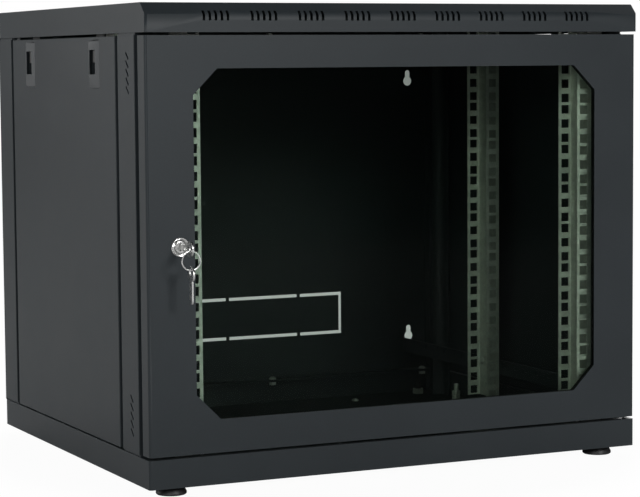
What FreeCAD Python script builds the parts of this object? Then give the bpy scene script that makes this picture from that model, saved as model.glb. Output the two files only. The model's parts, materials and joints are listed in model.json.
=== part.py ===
"""Wall mount network cabinet with a glazed door, two lift-off side panels and 19 inch rails.

Axes: X to the right, Y to the rear, Z up. The origin is under the middle of the whole part,
on the surface that the levelling feet stand on. All sizes are in millimetres.
"""
import FreeCAD, Part
import os
import re

import Sketcher

V = FreeCAD.Vector

# ---------------------------------------------------------------- driving sizes

SIZES = {
    # body
    "side_space": 48.5,
    "depth": 480.0,
    "sheet": 1.5,
    "skin": 1.2,
    "skirt_rise": 30.0,
    "cover_drop": 30.0,
    "corner_round": 3.0,
    "lip_depth": 15.0,
    "front_lip": 12.0,
    # cover
    "fascia_proud": 3.0,
    "chamfer": 12.0,
    "vent_width": 3.0,
    "vent_height": 10.1,
    "vent_low": 11.6,
    "vent_pitch": 6.55,
    "vent_row": 5,
    "vent_groups": 9,
    "vent_group_pitch": 53.2,
    # feet
    "foot_rise": 10.0,
    "foot_radius": 16.0,
    "foot_neck": 12.0,
    "foot_from_side": 33.0,
    "foot_from_front": 25.0,
    "foot_stem": 3.9,
    "foot_adjust": 10.0,
    "thread_fit": 0.05,
    "foot_nut_flats": 13.0,
    "foot_nut_height": 6.5,
    # door
    "door_gap": 3.0,
    "door_inset": 0.5,
    "door_return": 19.0,
    "door_setback": 9.0,
    "door_end_return": 13.0,
    "window_cover": 4.0,
    "window_foot": 37.5,
    "window_head": 36.5,
    "window_chamfer": 26.5,
    "glass_thick": 4.0,
    "glass_lap": 5.0,
    "seal_thick": 2.0,
    "clip_width": 20.0,
    "clip_foot": 10.0,
    "clip_from_middle": 126.0,
    "clip_gap": 0.5,
    # lock and keys
    "lock_clear": 4.5,
    "lock_height": 246.0,
    "lock_face": 10.0,
    "lock_barrel": 8.0,
    "lock_plug": 6.0,
    "lock_nut_flats": 19.0,
    "lock_nut_thick": 4.0,
    "cam_length": 27.0,
    "cam_width": 14.0,
    "cam_thick": 2.5,
    "cam_gap": 0.8,
    "key_reach": 36.0,
    "key_thick": 2.0,
    "key_blade": 7.0,
    "key_bow": 8.0,
    "key_length": 38.0,
    "key_hole": 3.0,
    "ring_outer": 10.5,
    "ring_wire": 0.75,
    "ring_play": 0.3,
    # hinges
    "pin_radius": 3.0,
    "pin_from_edge": 6.2,
    "pin_depth": 12.0,
    "pin_fit": 0.05,
    "sleeve_length": 20.0,
    "arm_thick": 3.0,
    "hinge_from_end": 70.0,
    "hinge_plate": 2.0,
    "hinge_plate_height": 40.0,
    "hinge_play": 0.3,
    "notch_rim": 1.0,
    "notch_height": 8.8,
    # posts
    "post_width": 48.0,
    "rear_post_width": 46.0,
    "post_return": 22.0,
    "rear_return": 10.0,
    "post_gap": 2.0,
    "ledge_depth": 6.5,
    "ledge_width": 16.0,
    "post_slot_long": 10.7,
    "post_slot_wide": 2.5,
    "post_slot_pitch": 8.7,
    "post_slot_from_face": 20.0,
    "post_slot_from_end": 23.0,
    # side panels and latches
    "groove": 8.0,
    "panel_gap": 2.8,
    "panel_return": 6.2,
    "panel_hook": 10.0,
    "panel_hook_width": 30.0,
    "latch_pitch": 215.0,
    "dish_width": 32.0,
    "dish_height": 50.0,
    "dish_depth": 6.0,
    "dish_from_top": 3.6,
    "latch_window_width": 11.5,
    "latch_window_height": 26.0,
    "latch_travel": 12.0,
    "latch_plate": 2.5,
    "latch_play": 0.3,
    "latch_engage": 1.0,
    "guide_width": 3.5,
    # rails and brackets
    "rail_unit": 44.45,
    "rail_units": 10,
    "rail_lift": 27.0,
    "rail_hole": 9.5,
    "rail_hole_step": 15.875,
    "rail_hole_centres": 465.1,
    "rail_rim": 3.5,
    "rail_flange": 17.2,
    "rail_headroom": 20.5,
    "rail_inset": 15.0,
    "rail_depth": 40.0,
    "rail_wing": 14.5,
    "rear_rail_inset": 217.0,
    "rear_rail_depth": 47.0,
    "bracket_lift": 29.0,
    "bracket_height": 18.0,
    "bracket_ledge": 12.0,
    "bracket_end_gap": 14.0,
    "bracket_front": 22.0,
    "slot_pitch": 25.0,
    "slot_count": 17,
    "slot_first": 30.0,
    "slot_from_edge": 5.5,
    "slot_long": 6.0,
    "slot_high": 5.2,
    "bolt_radius": 2.5,
    "bolt_fit": 0.1,
    "bolt_head": 4.5,
    "bolt_head_height": 3.0,
    "nut_flats": 8.0,
    "nut_height": 4.0,
    # bars
    "bar_setback": 6.0,
    "bar_depth": 15.0,
    "bar_height": 16.0,
    # back panel
    "keyhole_radius": 6.0,
    "keyhole_slot": 3.5,
    "keyhole_rise": 10.5,
    "keyhole_from_side": 34.0,
    "keyhole_low": 74.5,
    "keyhole_from_roof": 86.0,
    "knockout_half": 156.5,
    "knockout_low": 85.5,
    "knockout_high": 135.0,
    "knockout_cut": 4.0,
    "knockout_bridge": 98.0,
    "back_screw_inner": 57.0,
    "back_screw_from_side": 19.0,
    # floor fittings
    "entry_half": 160.0,
    "entry_front": 330.0,
    "entry_rear": 435.0,
    "entry_rim": 15.0,
    "earth_from_side": 15.0,
    "earth_from_front": 385.0,
    "earth_radius": 3.0,
    "earth_length": 20.0,
    "earth_nut_flats": 10.0,
    "earth_nut_height": 5.0,
}

# Places that follow from the driving sizes, each written with the names above or before it.
PLACES = {
    "rail_column": "rail_hole_centres/2",
    "rail_clear_half": "rail_column-rail_hole/2-rail_rim",
    "rail_web_outer": "rail_clear_half+rail_flange",
    "half": "rail_web_outer+side_space",
    "height": "rail_lift+rail_unit*rail_units+rail_headroom",
    "front": "(key_reach+key_bow/4-depth)/2",
    "rear": "front+depth",
    "under": "foot_rise",
    "roof": "under+height",
    "floor_top": "under+sheet",
    "roof_low": "roof-sheet",
    "skirt_top": "under+skirt_rise",
    "cover_low": "roof-cover_drop",
    "inner_half": "half-sheet",
    "fascia": "front-fascia_proud",
    # door
    "door_half": "half-door_inset",
    "door_low": "skirt_top+door_gap",
    "door_high": "cover_low-door_gap",
    "door_back": "front+door_return",
    "skin_back": "front+skin",
    "glass_back": "skin_back+glass_thick",
    "seal_back": "glass_back+seal_thick",
    "window_half": "rail_web_outer-window_cover",
    "window_low": "skirt_top+window_foot",
    "window_high": "cover_low-window_head",
    "lock_x": "-(rail_web_outer+lock_clear+lock_barrel)",
    "lock_z": "under+lock_height",
    # posts
    "post_front": "door_back+door_setback",
    "post_back": "post_front+post_width",
    "rear_post_front": "rear-rear_post_width",
    "web_inner": "inner_half-sheet",
    "post_inner": "half-post_return",
    "ledge_outer": "half-ledge_depth",
    # hinges
    "pin_x": "half-pin_from_edge",
    "pin_y": "front+pin_depth",
    "return_inner": "door_half-skin",
    # side panels
    "panel_front": "post_back+groove",
    "panel_rear": "rear_post_front-groove+1",
    "panel_low": "skirt_top+panel_gap",
    "panel_high": "cover_low-door_gap-(panel_gap-door_gap)*2",
    "panel_middle": "(panel_front+panel_rear)/2",
    "panel_inner": "half-panel_return",
    "dish_high": "panel_high-dish_from_top",
    "dish_low": "dish_high-dish_height",
    "dish_floor": "half-dish_depth",
    "window_top": "dish_high-10",
    "window_foot_z": "window_top-latch_window_height",
    "plate_outer": "dish_floor-skin-0.8",
    "plate_inner": "plate_outer-latch_plate",
    "tongue_top": "cover_low+latch_engage",
    # rails
    "rail_low": "under+rail_lift",
    "rail_high": "rail_low+rail_unit*rail_units",
    "rail_face": "front+rail_inset",
    "rail_back": "rail_face+rail_depth",
    "rear_rail_face": "front+rear_rail_inset",
    "rear_rail_back": "rear_rail_face+rear_rail_depth",
    "bracket_low": "rail_low+bracket_lift",
    "bracket_high": "rail_high-bracket_lift",
    "bracket_outer": "rail_web_outer+sheet",
    "slot_low": "bracket_low+bracket_height-slot_from_edge",
    "slot_top": "bracket_high-bracket_height+slot_from_edge",
    "slot_start": "front+slot_first",
    "slot_rear": "slot_start+9*slot_pitch",
    # cam behind the post
    "plug_back": "post_front+sheet+cam_gap",
    "cam_back": "plug_back+cam_thick",
    "key_y": "front-key_reach+key_bow",
    "hole_y": "key_y-key_bow/4",
    "ring_z": "lock_z-key_hole+ring_wire+ring_play",
    "ring_mean": "ring_outer-ring_wire",
    "spare_z": "ring_z-2*ring_mean",
    "spare_hole": "spare_z+ring_wire+ring_play-key_hole",
}

NAMES = re.compile(r"\b(" + "|".join([*SIZES, *PLACES]) + r")\b")

doc = FreeCAD.newDocument("NetworkCabinet")
sheet = doc.addObject("Spreadsheet::Sheet", "Sizes")
for row, (alias, number) in enumerate(SIZES.items(), start=1):
    sheet.set(f"A{row}", alias)
    sheet.set(f"B{row}", str(number))
    sheet.setAlias(f"B{row}", alias)
probe = doc.addObject("App::FeaturePython", "Probe")
doc.recompute()

parts = []
LEFT, RIGHT = -1, 1
SIDES = {"left": LEFT, "right": RIGHT}


# ---------------------------------------------------------------- helpers

def spell(text):
    """Write a size expression with its places worked out to cells of the sheet."""
    def swap(match):
        name = match.group(1)
        return f"Sizes.{name}" if name in SIZES else f"({spell(PLACES[name])})"
    return NAMES.sub(swap, str(text))


def measure(text):
    """The number that a size expression stands for."""
    return float(probe.evalExpression(spell(text)))


def bind(item, prop, text):
    item.setExpression(prop, spell(text))


def keep(item, label):
    """Name a finished sub-part, whose label is also its file name."""
    item.Label = label
    parts.append(item)
    return item


def flip(side, low, high):
    """The span low to high on the right side, or its mirror image on the left."""
    return (low, high) if side == RIGHT else (f"-({high})", f"-({low})")


def block(x, y, z):
    item = doc.addObject("Part::Box", "Block")
    for prop, axis, (low, high) in zip(("Length", "Width", "Height"), "xyz", (x, y, z)):
        bind(item, prop, f"({high})-({low})")
        bind(item, f"Placement.Base.{axis}", low)
    return item


TURNS = {
    "x": FreeCAD.Rotation(V(0, 1, 0), 90),
    "y": FreeCAD.Rotation(V(1, 0, 0), -90),
    "z": FreeCAD.Rotation(),
}


def stand(item, axis, spot, low):
    """Stand an item along an axis, at its place across the axis, starting from low."""
    item.Placement = FreeCAD.Placement(V(), TURNS[axis])
    across = [name for name in "xyz" if name != axis]
    for name, text in [*zip(across, spot), (axis, low)]:
        bind(item, f"Placement.Base.{name}", text)
    return item


def rod(axis, spot, span, radius):
    item = doc.addObject("Part::Cylinder", "Rod")
    bind(item, "Radius", radius)
    bind(item, "Height", f"({span[1]})-({span[0]})")
    return stand(item, axis, spot, span[0])


def hexagon(axis, spot, span, flats):
    item = doc.addObject("Part::Prism", "Hexagon")
    item.Polygon = 6
    bind(item, "Circumradius", f"({flats})/sqrt(3)")
    bind(item, "Height", f"({span[1]})-({span[0]})")
    return stand(item, axis, spot, span[0])


def join(items):
    item = doc.addObject("Part::MultiFuse", "Join")
    item.Shapes = items
    return item


def cut(base, tools):
    item = doc.addObject("Part::Cut", "Cut")
    item.Base = base
    item.Tool = tools[0] if len(tools) == 1 else join(tools)
    return item


def group(items):
    item = doc.addObject("Part::Compound", "Group")
    item.Links = items
    return item


def nut(axis, spot, span, flats, bore):
    return cut(hexagon(axis, spot, span, flats), [rod(axis, spot, span, bore)])


def screw(axis, spot, head, shank):
    """A pan head screw: its head span and its shank span along the axis."""
    return join([rod(axis, spot, head, "bolt_head"), rod(axis, spot, shank, "bolt_radius")])


def rect(a, b):
    """The corners of a rectangle between two spans."""
    return [(a[0], b[0]), (a[1], b[0]), (a[1], b[1]), (a[0], b[1])]


def body(label):
    return keep(doc.addObject("PartDesign::Body", label), label)


def draw(owner, role, level, loops, circles):
    """A sketch on one of the body's own origin planes, moved along its normal by level."""
    sketch = owner.newObject("Sketcher::SketchObject", "Sketch")
    plane = next(item for item in owner.Origin.OriginFeatures if item.Role == role)
    sketch.AttachmentSupport = [(plane, "")]
    sketch.MapMode = "FlatFace"
    bind(sketch, "AttachmentOffset.Base.z", level)
    lines, rules, bonds = [], [], []
    for loop in loops:
        first = len(lines)
        corners = [V(measure(a), measure(b), 0) for a, b in loop]
        for number, (a, b) in enumerate(loop):
            after = (number + 1) % len(loop)
            lines.append(Part.LineSegment(corners[number], corners[after]))
            rules.append(Sketcher.Constraint("Coincident", first + number, 2, first + after, 1))
            for kind, text, place in (("DistanceX", a, corners[number].x),
                                      ("DistanceY", b, corners[number].y)):
                bonds.append((len(rules), text))
                rules.append(Sketcher.Constraint(kind, -1, 1, first + number, 1, place))
    for a, b, radius in circles:
        centre = V(measure(a), measure(b), 0)
        rim = len(lines)
        lines.append(Part.Circle(centre, V(0, 0, 1), measure(radius)))
        for kind, text, place in (("DistanceX", a, centre.x), ("DistanceY", b, centre.y)):
            bonds.append((len(rules), text))
            rules.append(Sketcher.Constraint(kind, -1, 1, rim, 3, place))
        bonds.append((len(rules), radius))
        rules.append(Sketcher.Constraint("Radius", rim, measure(radius)))
    sketch.addGeometry(lines, False)
    sketch.addConstraint(rules)
    for number, text in bonds:
        bind(sketch, f"Constraints[{number}]", text)
    return sketch


def pad(owner, role, loops, low, high, circles=()):
    """Add the loops' area between two places along the plane's axis."""
    level = f"-({high})" if role == "XZ_Plane" else low
    item = owner.newObject("PartDesign::Pad", "Pad")
    item.Profile = draw(owner, role, level, loops, circles)
    bind(item, "Length", f"({high})-({low})")
    return item


def pocket(owner, role, loops, low, high, circles=()):
    """Remove the loops' area between two places along the plane's axis."""
    level = f"-({low})" if role == "XZ_Plane" else high
    item = owner.newObject("PartDesign::Pocket", "Pocket")
    item.Profile = draw(owner, role, level, loops, circles)
    bind(item, "Length", f"({high})-({low})")
    return item


def repeat(owner, feature, role, count, pitch):
    """Repeat a feature along one of the body's axes."""
    item = owner.newObject("PartDesign::LinearPattern", "Repeat")
    item.Originals = [feature]
    axis = next(item for item in owner.Origin.OriginFeatures if item.Role == role)
    item.Direction = (axis, [""])
    bind(item, "Length", f"({pitch})*(({count})-1)")
    bind(item, "Occurrences", count)
    owner.Tip = item
    return item


def round_uprights(owner, radius, at_front, at_rear=True):
    """Round the upright outer corners of a body."""
    doc.recompute()
    box = owner.Shape.BoundBox
    names = []
    for number, edge in enumerate(owner.Shape.Edges, start=1):
        first, last = edge.Vertexes[0].Point, edge.Vertexes[-1].Point
        upright = abs(first.x - last.x) < 0.01 and abs(first.y - last.y) < 0.01
        outer = min(abs(first.x - box.XMin), abs(first.x - box.XMax)) < 0.01
        front = at_front and abs(first.y - box.YMin) < 0.01
        back = at_rear and abs(first.y - box.YMax) < 0.01
        if upright and outer and (front or back) and abs(first.z - last.z) > 5:
            names.append(f"Edge{number}")
    base = owner.Tip
    item = owner.newObject("PartDesign::Fillet", "Fillet")
    item.Base = (base, names)
    bind(item, "Radius", radius)
    return item


# ---------------------------------------------------------------- base and cover

FOOT_SPOTS = {
    f"{end}_{name}": (f"{side}*(half-foot_from_side)", place)
    for end, place in (("front", "front+foot_from_front"), ("rear", "rear-foot_from_front"))
    for name, side in SIDES.items()
}
BACK_SCREWS = [f"{side}*{place}" for side in SIDES.values()
               for place in ("back_screw_inner", "(half-back_screw_from_side)")]
SCREW_Y = "rear-sheet-lip_depth/2-1"
LIP_HALF = "half-rear_return-0.5"


def lips(owner, low, high):
    """Inward lips along the front and rear skirts; the rear one takes the back panel's screws."""
    across = ("-inner_half", "inner_half")
    middle = (f"-({LIP_HALF})", LIP_HALF)
    face = "front+sheet" if owner.Label == "base_tray" else "fascia+sheet"
    pad(owner, "XY_Plane", [rect(across, (face, "front+sheet+front_lip"))], low, high)
    holes = [(x, SCREW_Y, "bolt_radius+bolt_fit") for x in BACK_SCREWS]
    rear_lip = [rect(middle, ("rear-sheet-lip_depth", "rear-sheet"))]
    pad(owner, "XY_Plane", rear_lip, low, high, holes)


def base_tray():
    """Floor plate with upright skirts, open at the top."""
    tray = body("base_tray")
    outline = rect(("-half", "half"), ("front", "rear"))
    inside = rect(("-inner_half", "inner_half"), ("front+sheet", "rear-sheet"))
    pad(tray, "XY_Plane", [outline], "under", "skirt_top")
    round_uprights(tray, "corner_round", at_front=True)
    pocket(tray, "XY_Plane", [inside], "floor_top", "skirt_top")
    feet = [(x, y, "foot_stem+thread_fit") for x, y in FOOT_SPOTS.values()]
    entry = rect(("-(entry_half-entry_rim)", "entry_half-entry_rim"),
                 ("front+entry_front+entry_rim", "front+entry_rear-entry_rim"))
    screws = [(x, y, "bolt_radius") for x, y in ENTRY_SCREWS]
    earth = [("half-earth_from_side", "front+earth_from_front", "earth_radius")]
    pocket(tray, "XY_Plane", [entry], "under", "floor_top", [*feet, *screws, *earth])
    lips(tray, "skirt_top-sheet", "skirt_top")


def top_cover():
    """Roof with skirts, a chamfered front edge and rows of vent slots across it."""
    cover = body("top_cover")
    bend = "sheet*(sqrt(2)-1)"
    outer = [("fascia", "cover_low"), ("rear", "cover_low"), ("rear", "roof"),
             ("fascia+chamfer", "roof"), ("fascia", "roof-chamfer")]
    inner = [("fascia+sheet", "cover_low"), ("rear-sheet", "cover_low"),
             ("rear-sheet", "roof_low"), (f"fascia+chamfer+{bend}", "roof_low"),
             ("fascia+sheet", f"roof-chamfer-{bend}")]
    pad(cover, "YZ_Plane", [outer], "-half", "half")
    round_uprights(cover, "corner_round", at_front=True)
    pocket(cover, "YZ_Plane", [inner], "-inner_half", "inner_half")
    lips(cover, "cover_low", "cover_low+sheet")
    slots = []
    for number in range(SIZES["vent_row"]):
        middle = (f"-(vent_groups-1)/2*vent_group_pitch"
                  f"+({number}-(vent_row-1)/2)*vent_pitch")
        slots.append(rect((f"{middle}-vent_width/2", f"{middle}+vent_width/2"),
                          ("cover_low+vent_low", "cover_low+vent_low+vent_height")))
    vents = pocket(cover, "XZ_Plane", slots, "fascia", "fascia+chamfer")
    repeat(cover, vents, "X_Axis", "vent_groups", "vent_group_pitch")


# ---------------------------------------------------------------- frame

def post(name, side, at_front):
    """Corner post: a channel inside the skirts with a flush outer face between them."""
    column = body(name)
    face, back = ("post_front", "post_back") if at_front else ("rear_post_front", "rear-sheet")
    inward = 1 if at_front else -1
    near, far = (face, back) if at_front else (back, face)
    near_edge = "post_inner" if at_front else "half-rear_return"
    ledge = f"{far}+{inward}*ledge_width"
    profile = [("inner_half", near), (near_edge, near), (near_edge, f"{near}+{inward}*sheet"),
               ("web_inner", f"{near}+{inward}*sheet"), ("web_inner", f"{far}-{inward}*sheet"),
               ("post_inner", f"{far}-{inward}*sheet"), ("post_inner", far),
               ("ledge_outer-sheet", far), ("ledge_outer-sheet", ledge),
               ("ledge_outer", ledge), ("ledge_outer", far), ("inner_half", far)]
    mirrored = [(f"{side}*({x})", y) for x, y in profile]
    pad(column, "XY_Plane", [mirrored], "floor_top", "roof_low")
    outer = rect(flip(side, "inner_half", "half"), (face, back))
    pad(column, "XY_Plane", [outer], "skirt_top+post_gap", "cover_low-post_gap")
    if not at_front:
        return
    slots = []
    for number in range(5):
        z = f"skirt_top+post_slot_from_end+{number}*post_slot_pitch"
        y = "post_front+post_slot_from_face"
        along, across = "post_slot_long/sqrt(8)", "post_slot_wide/sqrt(8)"
        slots.append([(f"{y}-{along}-{across}", f"{z}-{along}+{across}"),
                      (f"{y}-{along}+{across}", f"{z}-{along}-{across}"),
                      (f"{y}+{along}+{across}", f"{z}+{along}-{across}"),
                      (f"{y}+{along}-{across}", f"{z}+{along}+{across}")])
    low, high = flip(side, "web_inner", "half")
    row = pocket(column, "YZ_Plane", slots, low, high)
    repeat(column, row, "Z_Axis", "2",
           "cover_low-skirt_top-2*post_slot_from_end-4*post_slot_pitch")


def cross_bar(label, low, high, flange_low):
    """Angle that ties the front posts together, inside a skirt."""
    bar = body(label)
    face = "post_front+bar_setback"
    across = ("-web_inner", "web_inner")
    pad(bar, "XY_Plane", [rect(across, (face, f"{face}+sheet"))], low, high)
    pad(bar, "XY_Plane", [rect(across, (face, f"{face}+bar_depth"))],
        flange_low, f"{flange_low}+sheet")


def depth_bracket(label, side, upper):
    """Slotted angle from the front post to the rear post, which carries the rails."""
    bracket = body(label)
    low = "bracket_high-bracket_height" if upper else "bracket_low"
    high = f"{low}+bracket_height"
    ledge = f"{high}-sheet" if upper else low
    ends = ("front+bracket_front", "rear-bracket_end_gap")
    pad(bracket, "XY_Plane", [rect(flip(side, "rail_web_outer", "bracket_outer"), ends)],
        low, high)
    pad(bracket, "XY_Plane",
        [rect(flip(side, "rail_web_outer", "bracket_outer+bracket_ledge"), ends)],
        ledge, f"{ledge}+sheet")
    tabs = (("post_front+2*sheet", "post_back-2*sheet"),
            ("rear_post_front+2*sheet", "rear-bracket_end_gap"))
    for tab in tabs:
        pad(bracket, "XY_Plane", [rect(flip(side, "rail_web_outer", "web_inner"), tab)],
            ledge, f"{ledge}+sheet")
        pad(bracket, "XY_Plane", [rect(flip(side, "web_inner-sheet", "web_inner"), tab)],
            low, high)
    row = "slot_top" if upper else "slot_low"
    slot = rect(("slot_start-slot_long/2", "slot_start+slot_long/2"),
                (f"{row}-slot_high/2", f"{row}+slot_high/2"))
    first = pocket(bracket, "YZ_Plane", [slot], *flip(side, "rail_web_outer", "bracket_outer"))
    repeat(bracket, first, "Y_Axis", "slot_count", "slot_pitch")


def rail(label, side, at_front):
    """Mounting rail, a channel with three square holes in each rack unit of both flanges."""
    strip = body(label)
    face, back = ("rail_face", "rail_back") if at_front else ("rear_rail_face", "rear_rail_back")
    reach = "rail_web_outer+rail_wing" if at_front else "rail_web_outer"
    web = "rail_web_outer-sheet"
    profile = [("rail_clear_half", face), (reach, face), (reach, f"{face}+sheet"),
               ("rail_web_outer", f"{face}+sheet"), ("rail_web_outer", back),
               ("rail_clear_half", back), ("rail_clear_half", f"{back}-sheet"),
               (web, f"{back}-sheet"),
               (web, f"{face}+sheet"), ("rail_clear_half", f"{face}+sheet")]
    if not at_front:
        profile.pop(2)
        profile.pop(2)
    mirrored = [(f"{side}*({x})", y) for x, y in profile]
    pad(strip, "XY_Plane", [mirrored], "rail_low", "rail_high")
    across = flip(side, "rail_column-rail_hole/2", "rail_column+rail_hole/2")
    squares = []
    for number in (-1, 0, 1):
        middle = f"rail_low+rail_unit/2+{number}*rail_hole_step"
        squares.append(rect(across, (f"{middle}-rail_hole/2", f"{middle}+rail_hole/2")))
    unit = pocket(strip, "XZ_Plane", squares, face, back)
    repeat(strip, unit, "Z_Axis", "rail_units", "rail_unit")
    y = "slot_start" if at_front else "slot_rear"
    bores = [(y, z, "bolt_radius+bolt_fit") for z in ("slot_low", "slot_top")]
    pocket(strip, "YZ_Plane", [], *flip(side, web, "rail_web_outer"), circles=bores)
    if at_front and side == LEFT:
        wing = rect(("-(rail_web_outer+rail_wing)", "-rail_web_outer"), ("lock_z-46", "lock_z+18"))
        pocket(strip, "XZ_Plane", [wing], face, f"{face}+sheet")


def frame_fasteners():
    rail_screws, rail_nuts, bracket_screws = [], [], []
    for side in SIDES.values():
        web = "rail_web_outer-sheet"
        for y in ("slot_start", "slot_rear"):
            for z in ("slot_low", "slot_top"):
                head = flip(side, f"{web}-bolt_head_height", web)
                shank = flip(side, web, "bracket_outer+nut_height")
                rail_screws.append(screw("x", (y, z), head, shank))
                nuts = flip(side, "bracket_outer", "bracket_outer+nut_height")
                rail_nuts.append(nut("x", (y, z), nuts, "nut_flats", "bolt_radius"))
        for y in ("(post_front+post_back)/2", "(rear_post_front+rear-bracket_end_gap)/2"):
            for z in ("bracket_low+bracket_height/2", "bracket_high-bracket_height/2"):
                head = flip(side, "web_inner-sheet-bolt_head_height", "web_inner-sheet")
                bracket_screws.append(rod("x", (y, z), head, "bolt_head"))
    keep(group(rail_screws), "rail_screws")
    keep(group(rail_nuts), "rail_nuts")
    keep(group(bracket_screws), "bracket_screws")


def back_panel():
    """Rear sheet with wall keyholes, a cable knock-out and a ledge at each end."""
    panel = body("back_panel")
    plate = rect(("-half", "half"), ("skirt_top", "cover_low"))
    pad(panel, "XZ_Plane", [plate], "rear-sheet", "rear")
    ledge = rect((f"-({LIP_HALF})", LIP_HALF), ("rear-sheet-lip_depth", "rear-sheet"))
    holes = [(x, SCREW_Y, "bolt_radius+bolt_fit") for x in BACK_SCREWS]
    pad(panel, "XY_Plane", [ledge], "skirt_top", "skirt_top+sheet", holes)
    pad(panel, "XY_Plane", [ledge], "cover_low-sheet", "cover_low", holes)
    spots = [(f"{side}*(half-keyhole_from_side)", z) for side in SIDES.values()
             for z in ("under+keyhole_low", "roof-keyhole_from_roof")]
    through = ("rear-sheet", "rear")
    pocket(panel, "XZ_Plane", [], *through,
           circles=[(x, z, "keyhole_radius") for x, z in spots])
    pocket(panel, "XZ_Plane", [rect((f"{x}-keyhole_slot", f"{x}+keyhole_slot"),
                                    (z, f"{z}+keyhole_rise")) for x, z in spots], *through)
    pocket(panel, "XZ_Plane", [], *through,
           circles=[(x, f"{z}+keyhole_rise", "keyhole_slot") for x, z in spots])
    rows, columns = [], []
    for z in ("under+knockout_low", "under+knockout_high"):
        for side in SIDES.values():
            for inner, outer in (("knockout_cut/2", "knockout_bridge-knockout_cut/2"),
                                 ("knockout_bridge+knockout_cut/2", "knockout_half")):
                rows.append(rect(flip(side, inner, outer),
                                 (f"{z}-knockout_cut/2", f"{z}+knockout_cut/2")))
    for side in SIDES.values():
        columns.append(rect(flip(side, "knockout_half-knockout_cut/2",
                                 "knockout_half+knockout_cut/2"),
                            ("under+knockout_low-knockout_cut/2",
                             "under+knockout_high+knockout_cut/2")))
    pocket(panel, "XZ_Plane", rows, *through)
    pocket(panel, "XZ_Plane", columns, *through)


def back_panel_fasteners():
    screws, nuts = [], []
    for x in BACK_SCREWS:
        for seat, grip, way in (("skirt_top+sheet", "skirt_top-sheet", 1),
                                ("cover_low-sheet", "cover_low+sheet", -1)):
            head = sorted([(way, f"{seat}+{way}*bolt_head_height"), (0, seat)],
                          key=lambda end: end[0])
            shank = sorted([(0, seat), (-way, f"{grip}-{way}*nut_height")],
                           key=lambda end: end[0])
            seat_nut = sorted([(0, grip), (-way, f"{grip}-{way}*nut_height")],
                              key=lambda end: end[0])
            spot = (x, SCREW_Y)
            screws.append(screw("z", spot, [text for _, text in head],
                                [text for _, text in shank]))
            nuts.append(nut("z", spot, [text for _, text in seat_nut],
                            "nut_flats", "bolt_radius"))
    keep(group(screws), "back_panel_screws")
    keep(group(nuts), "back_panel_nuts")


# ---------------------------------------------------------------- floor fittings

ENTRY_SCREWS = [(f"{side}*(entry_half-entry_rim/2)", y) for side in SIDES.values()
                for y in ("front+entry_front+entry_rim/2", "front+entry_rear-entry_rim/2")]


def floor_fittings():
    holes = [rod("z", spot, ("floor_top", "floor_top+skin"), "bolt_radius")
             for spot in ENTRY_SCREWS]
    plate = block(("-entry_half", "entry_half"), ("front+entry_front", "front+entry_rear"),
                  ("floor_top", "floor_top+skin"))
    keep(cut(plate, holes), "cable_entry_plate")
    seat = "floor_top+skin"
    keep(group([screw("z", spot, (seat, f"{seat}+bolt_head_height"), ("under", seat))
                for spot in ENTRY_SCREWS]), "entry_screws")
    spot = ("half-earth_from_side", "front+earth_from_front")
    keep(rod("z", spot, ("under", "floor_top+earth_length"), "earth_radius"), "earth_stud")
    lower = ("floor_top", "floor_top+earth_nut_height")
    upper = ("floor_top+earth_nut_height+1", "floor_top+2*earth_nut_height+1")
    keep(group([nut("z", spot, span, "earth_nut_flats", "earth_radius")
                for span in (lower, upper)]), "earth_nuts")


def feet():
    nuts = []
    for name, spot in FOOT_SPOTS.items():
        cone = doc.addObject("Part::Cone", "Pad")
        bind(cone, "Radius1", "foot_radius")
        bind(cone, "Radius2", "foot_neck")
        bind(cone, "Height", "foot_rise-latch_play")
        stand(cone, "z", spot, "0")
        stem = rod("z", spot, ("foot_rise/2", "under+foot_adjust+sheet+foot_nut_height"),
                   "foot_stem")
        keep(join([cone, stem]), f"foot_{name}")
        nuts.append(nut("z", spot, ("floor_top", "floor_top+foot_nut_height"),
                        "foot_nut_flats", "foot_stem+thread_fit"))
    keep(group(nuts), "foot_nuts")


# ---------------------------------------------------------------- door

def octagon(grow):
    """The window's outline, grown on every side; its chamfered corners keep their legs."""
    x, low, high = f"(window_half+{grow})", f"(window_low-{grow})", f"(window_high+{grow})"
    leg = "window_chamfer"
    return [(f"-{x}+{leg}", low), (f"{x}-{leg}", low), (x, f"{low}+{leg}"),
            (x, f"{high}-{leg}"), (f"{x}-{leg}", high), (f"-{x}+{leg}", high),
            (f"-{x}", f"{high}-{leg}"), (f"-{x}", f"{low}+{leg}")]


HINGES = {"lower": "door_low+hinge_from_end", "upper": "door_high-hinge_from_end"}


def door_frame():
    """Pressed steel door: a face with an eight-sided window and returns all round."""
    frame = body("door_frame")
    outline = rect(("-door_half", "door_half"), ("door_low", "door_high"))
    inside = rect(("-return_inner", "return_inner"), ("door_low+skin", "door_high-skin"))
    pad(frame, "XZ_Plane", [outline], "front", "door_back")
    round_uprights(frame, "corner_round", at_front=True, at_rear=False)
    pocket(frame, "XZ_Plane", [inside], "skin_back", "door_back")
    shallow = rect(("-return_inner", "return_inner"), ("door_low", "door_high"))
    pocket(frame, "XZ_Plane", [shallow], "front+door_end_return", "door_back")
    lock = [("lock_x", "lock_z", "lock_barrel")]
    pocket(frame, "XZ_Plane", [octagon("0")], "front", "skin_back", lock)
    notches = [rect(("return_inner-skin", "door_half"),
                    (f"{z}+arm_thick/2+hinge_play-notch_height",
                     f"{z}+arm_thick/2+hinge_play")) for z in HINGES.values()]
    pocket(frame, "XZ_Plane", notches, "skin_back+notch_rim", "door_back")


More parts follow.
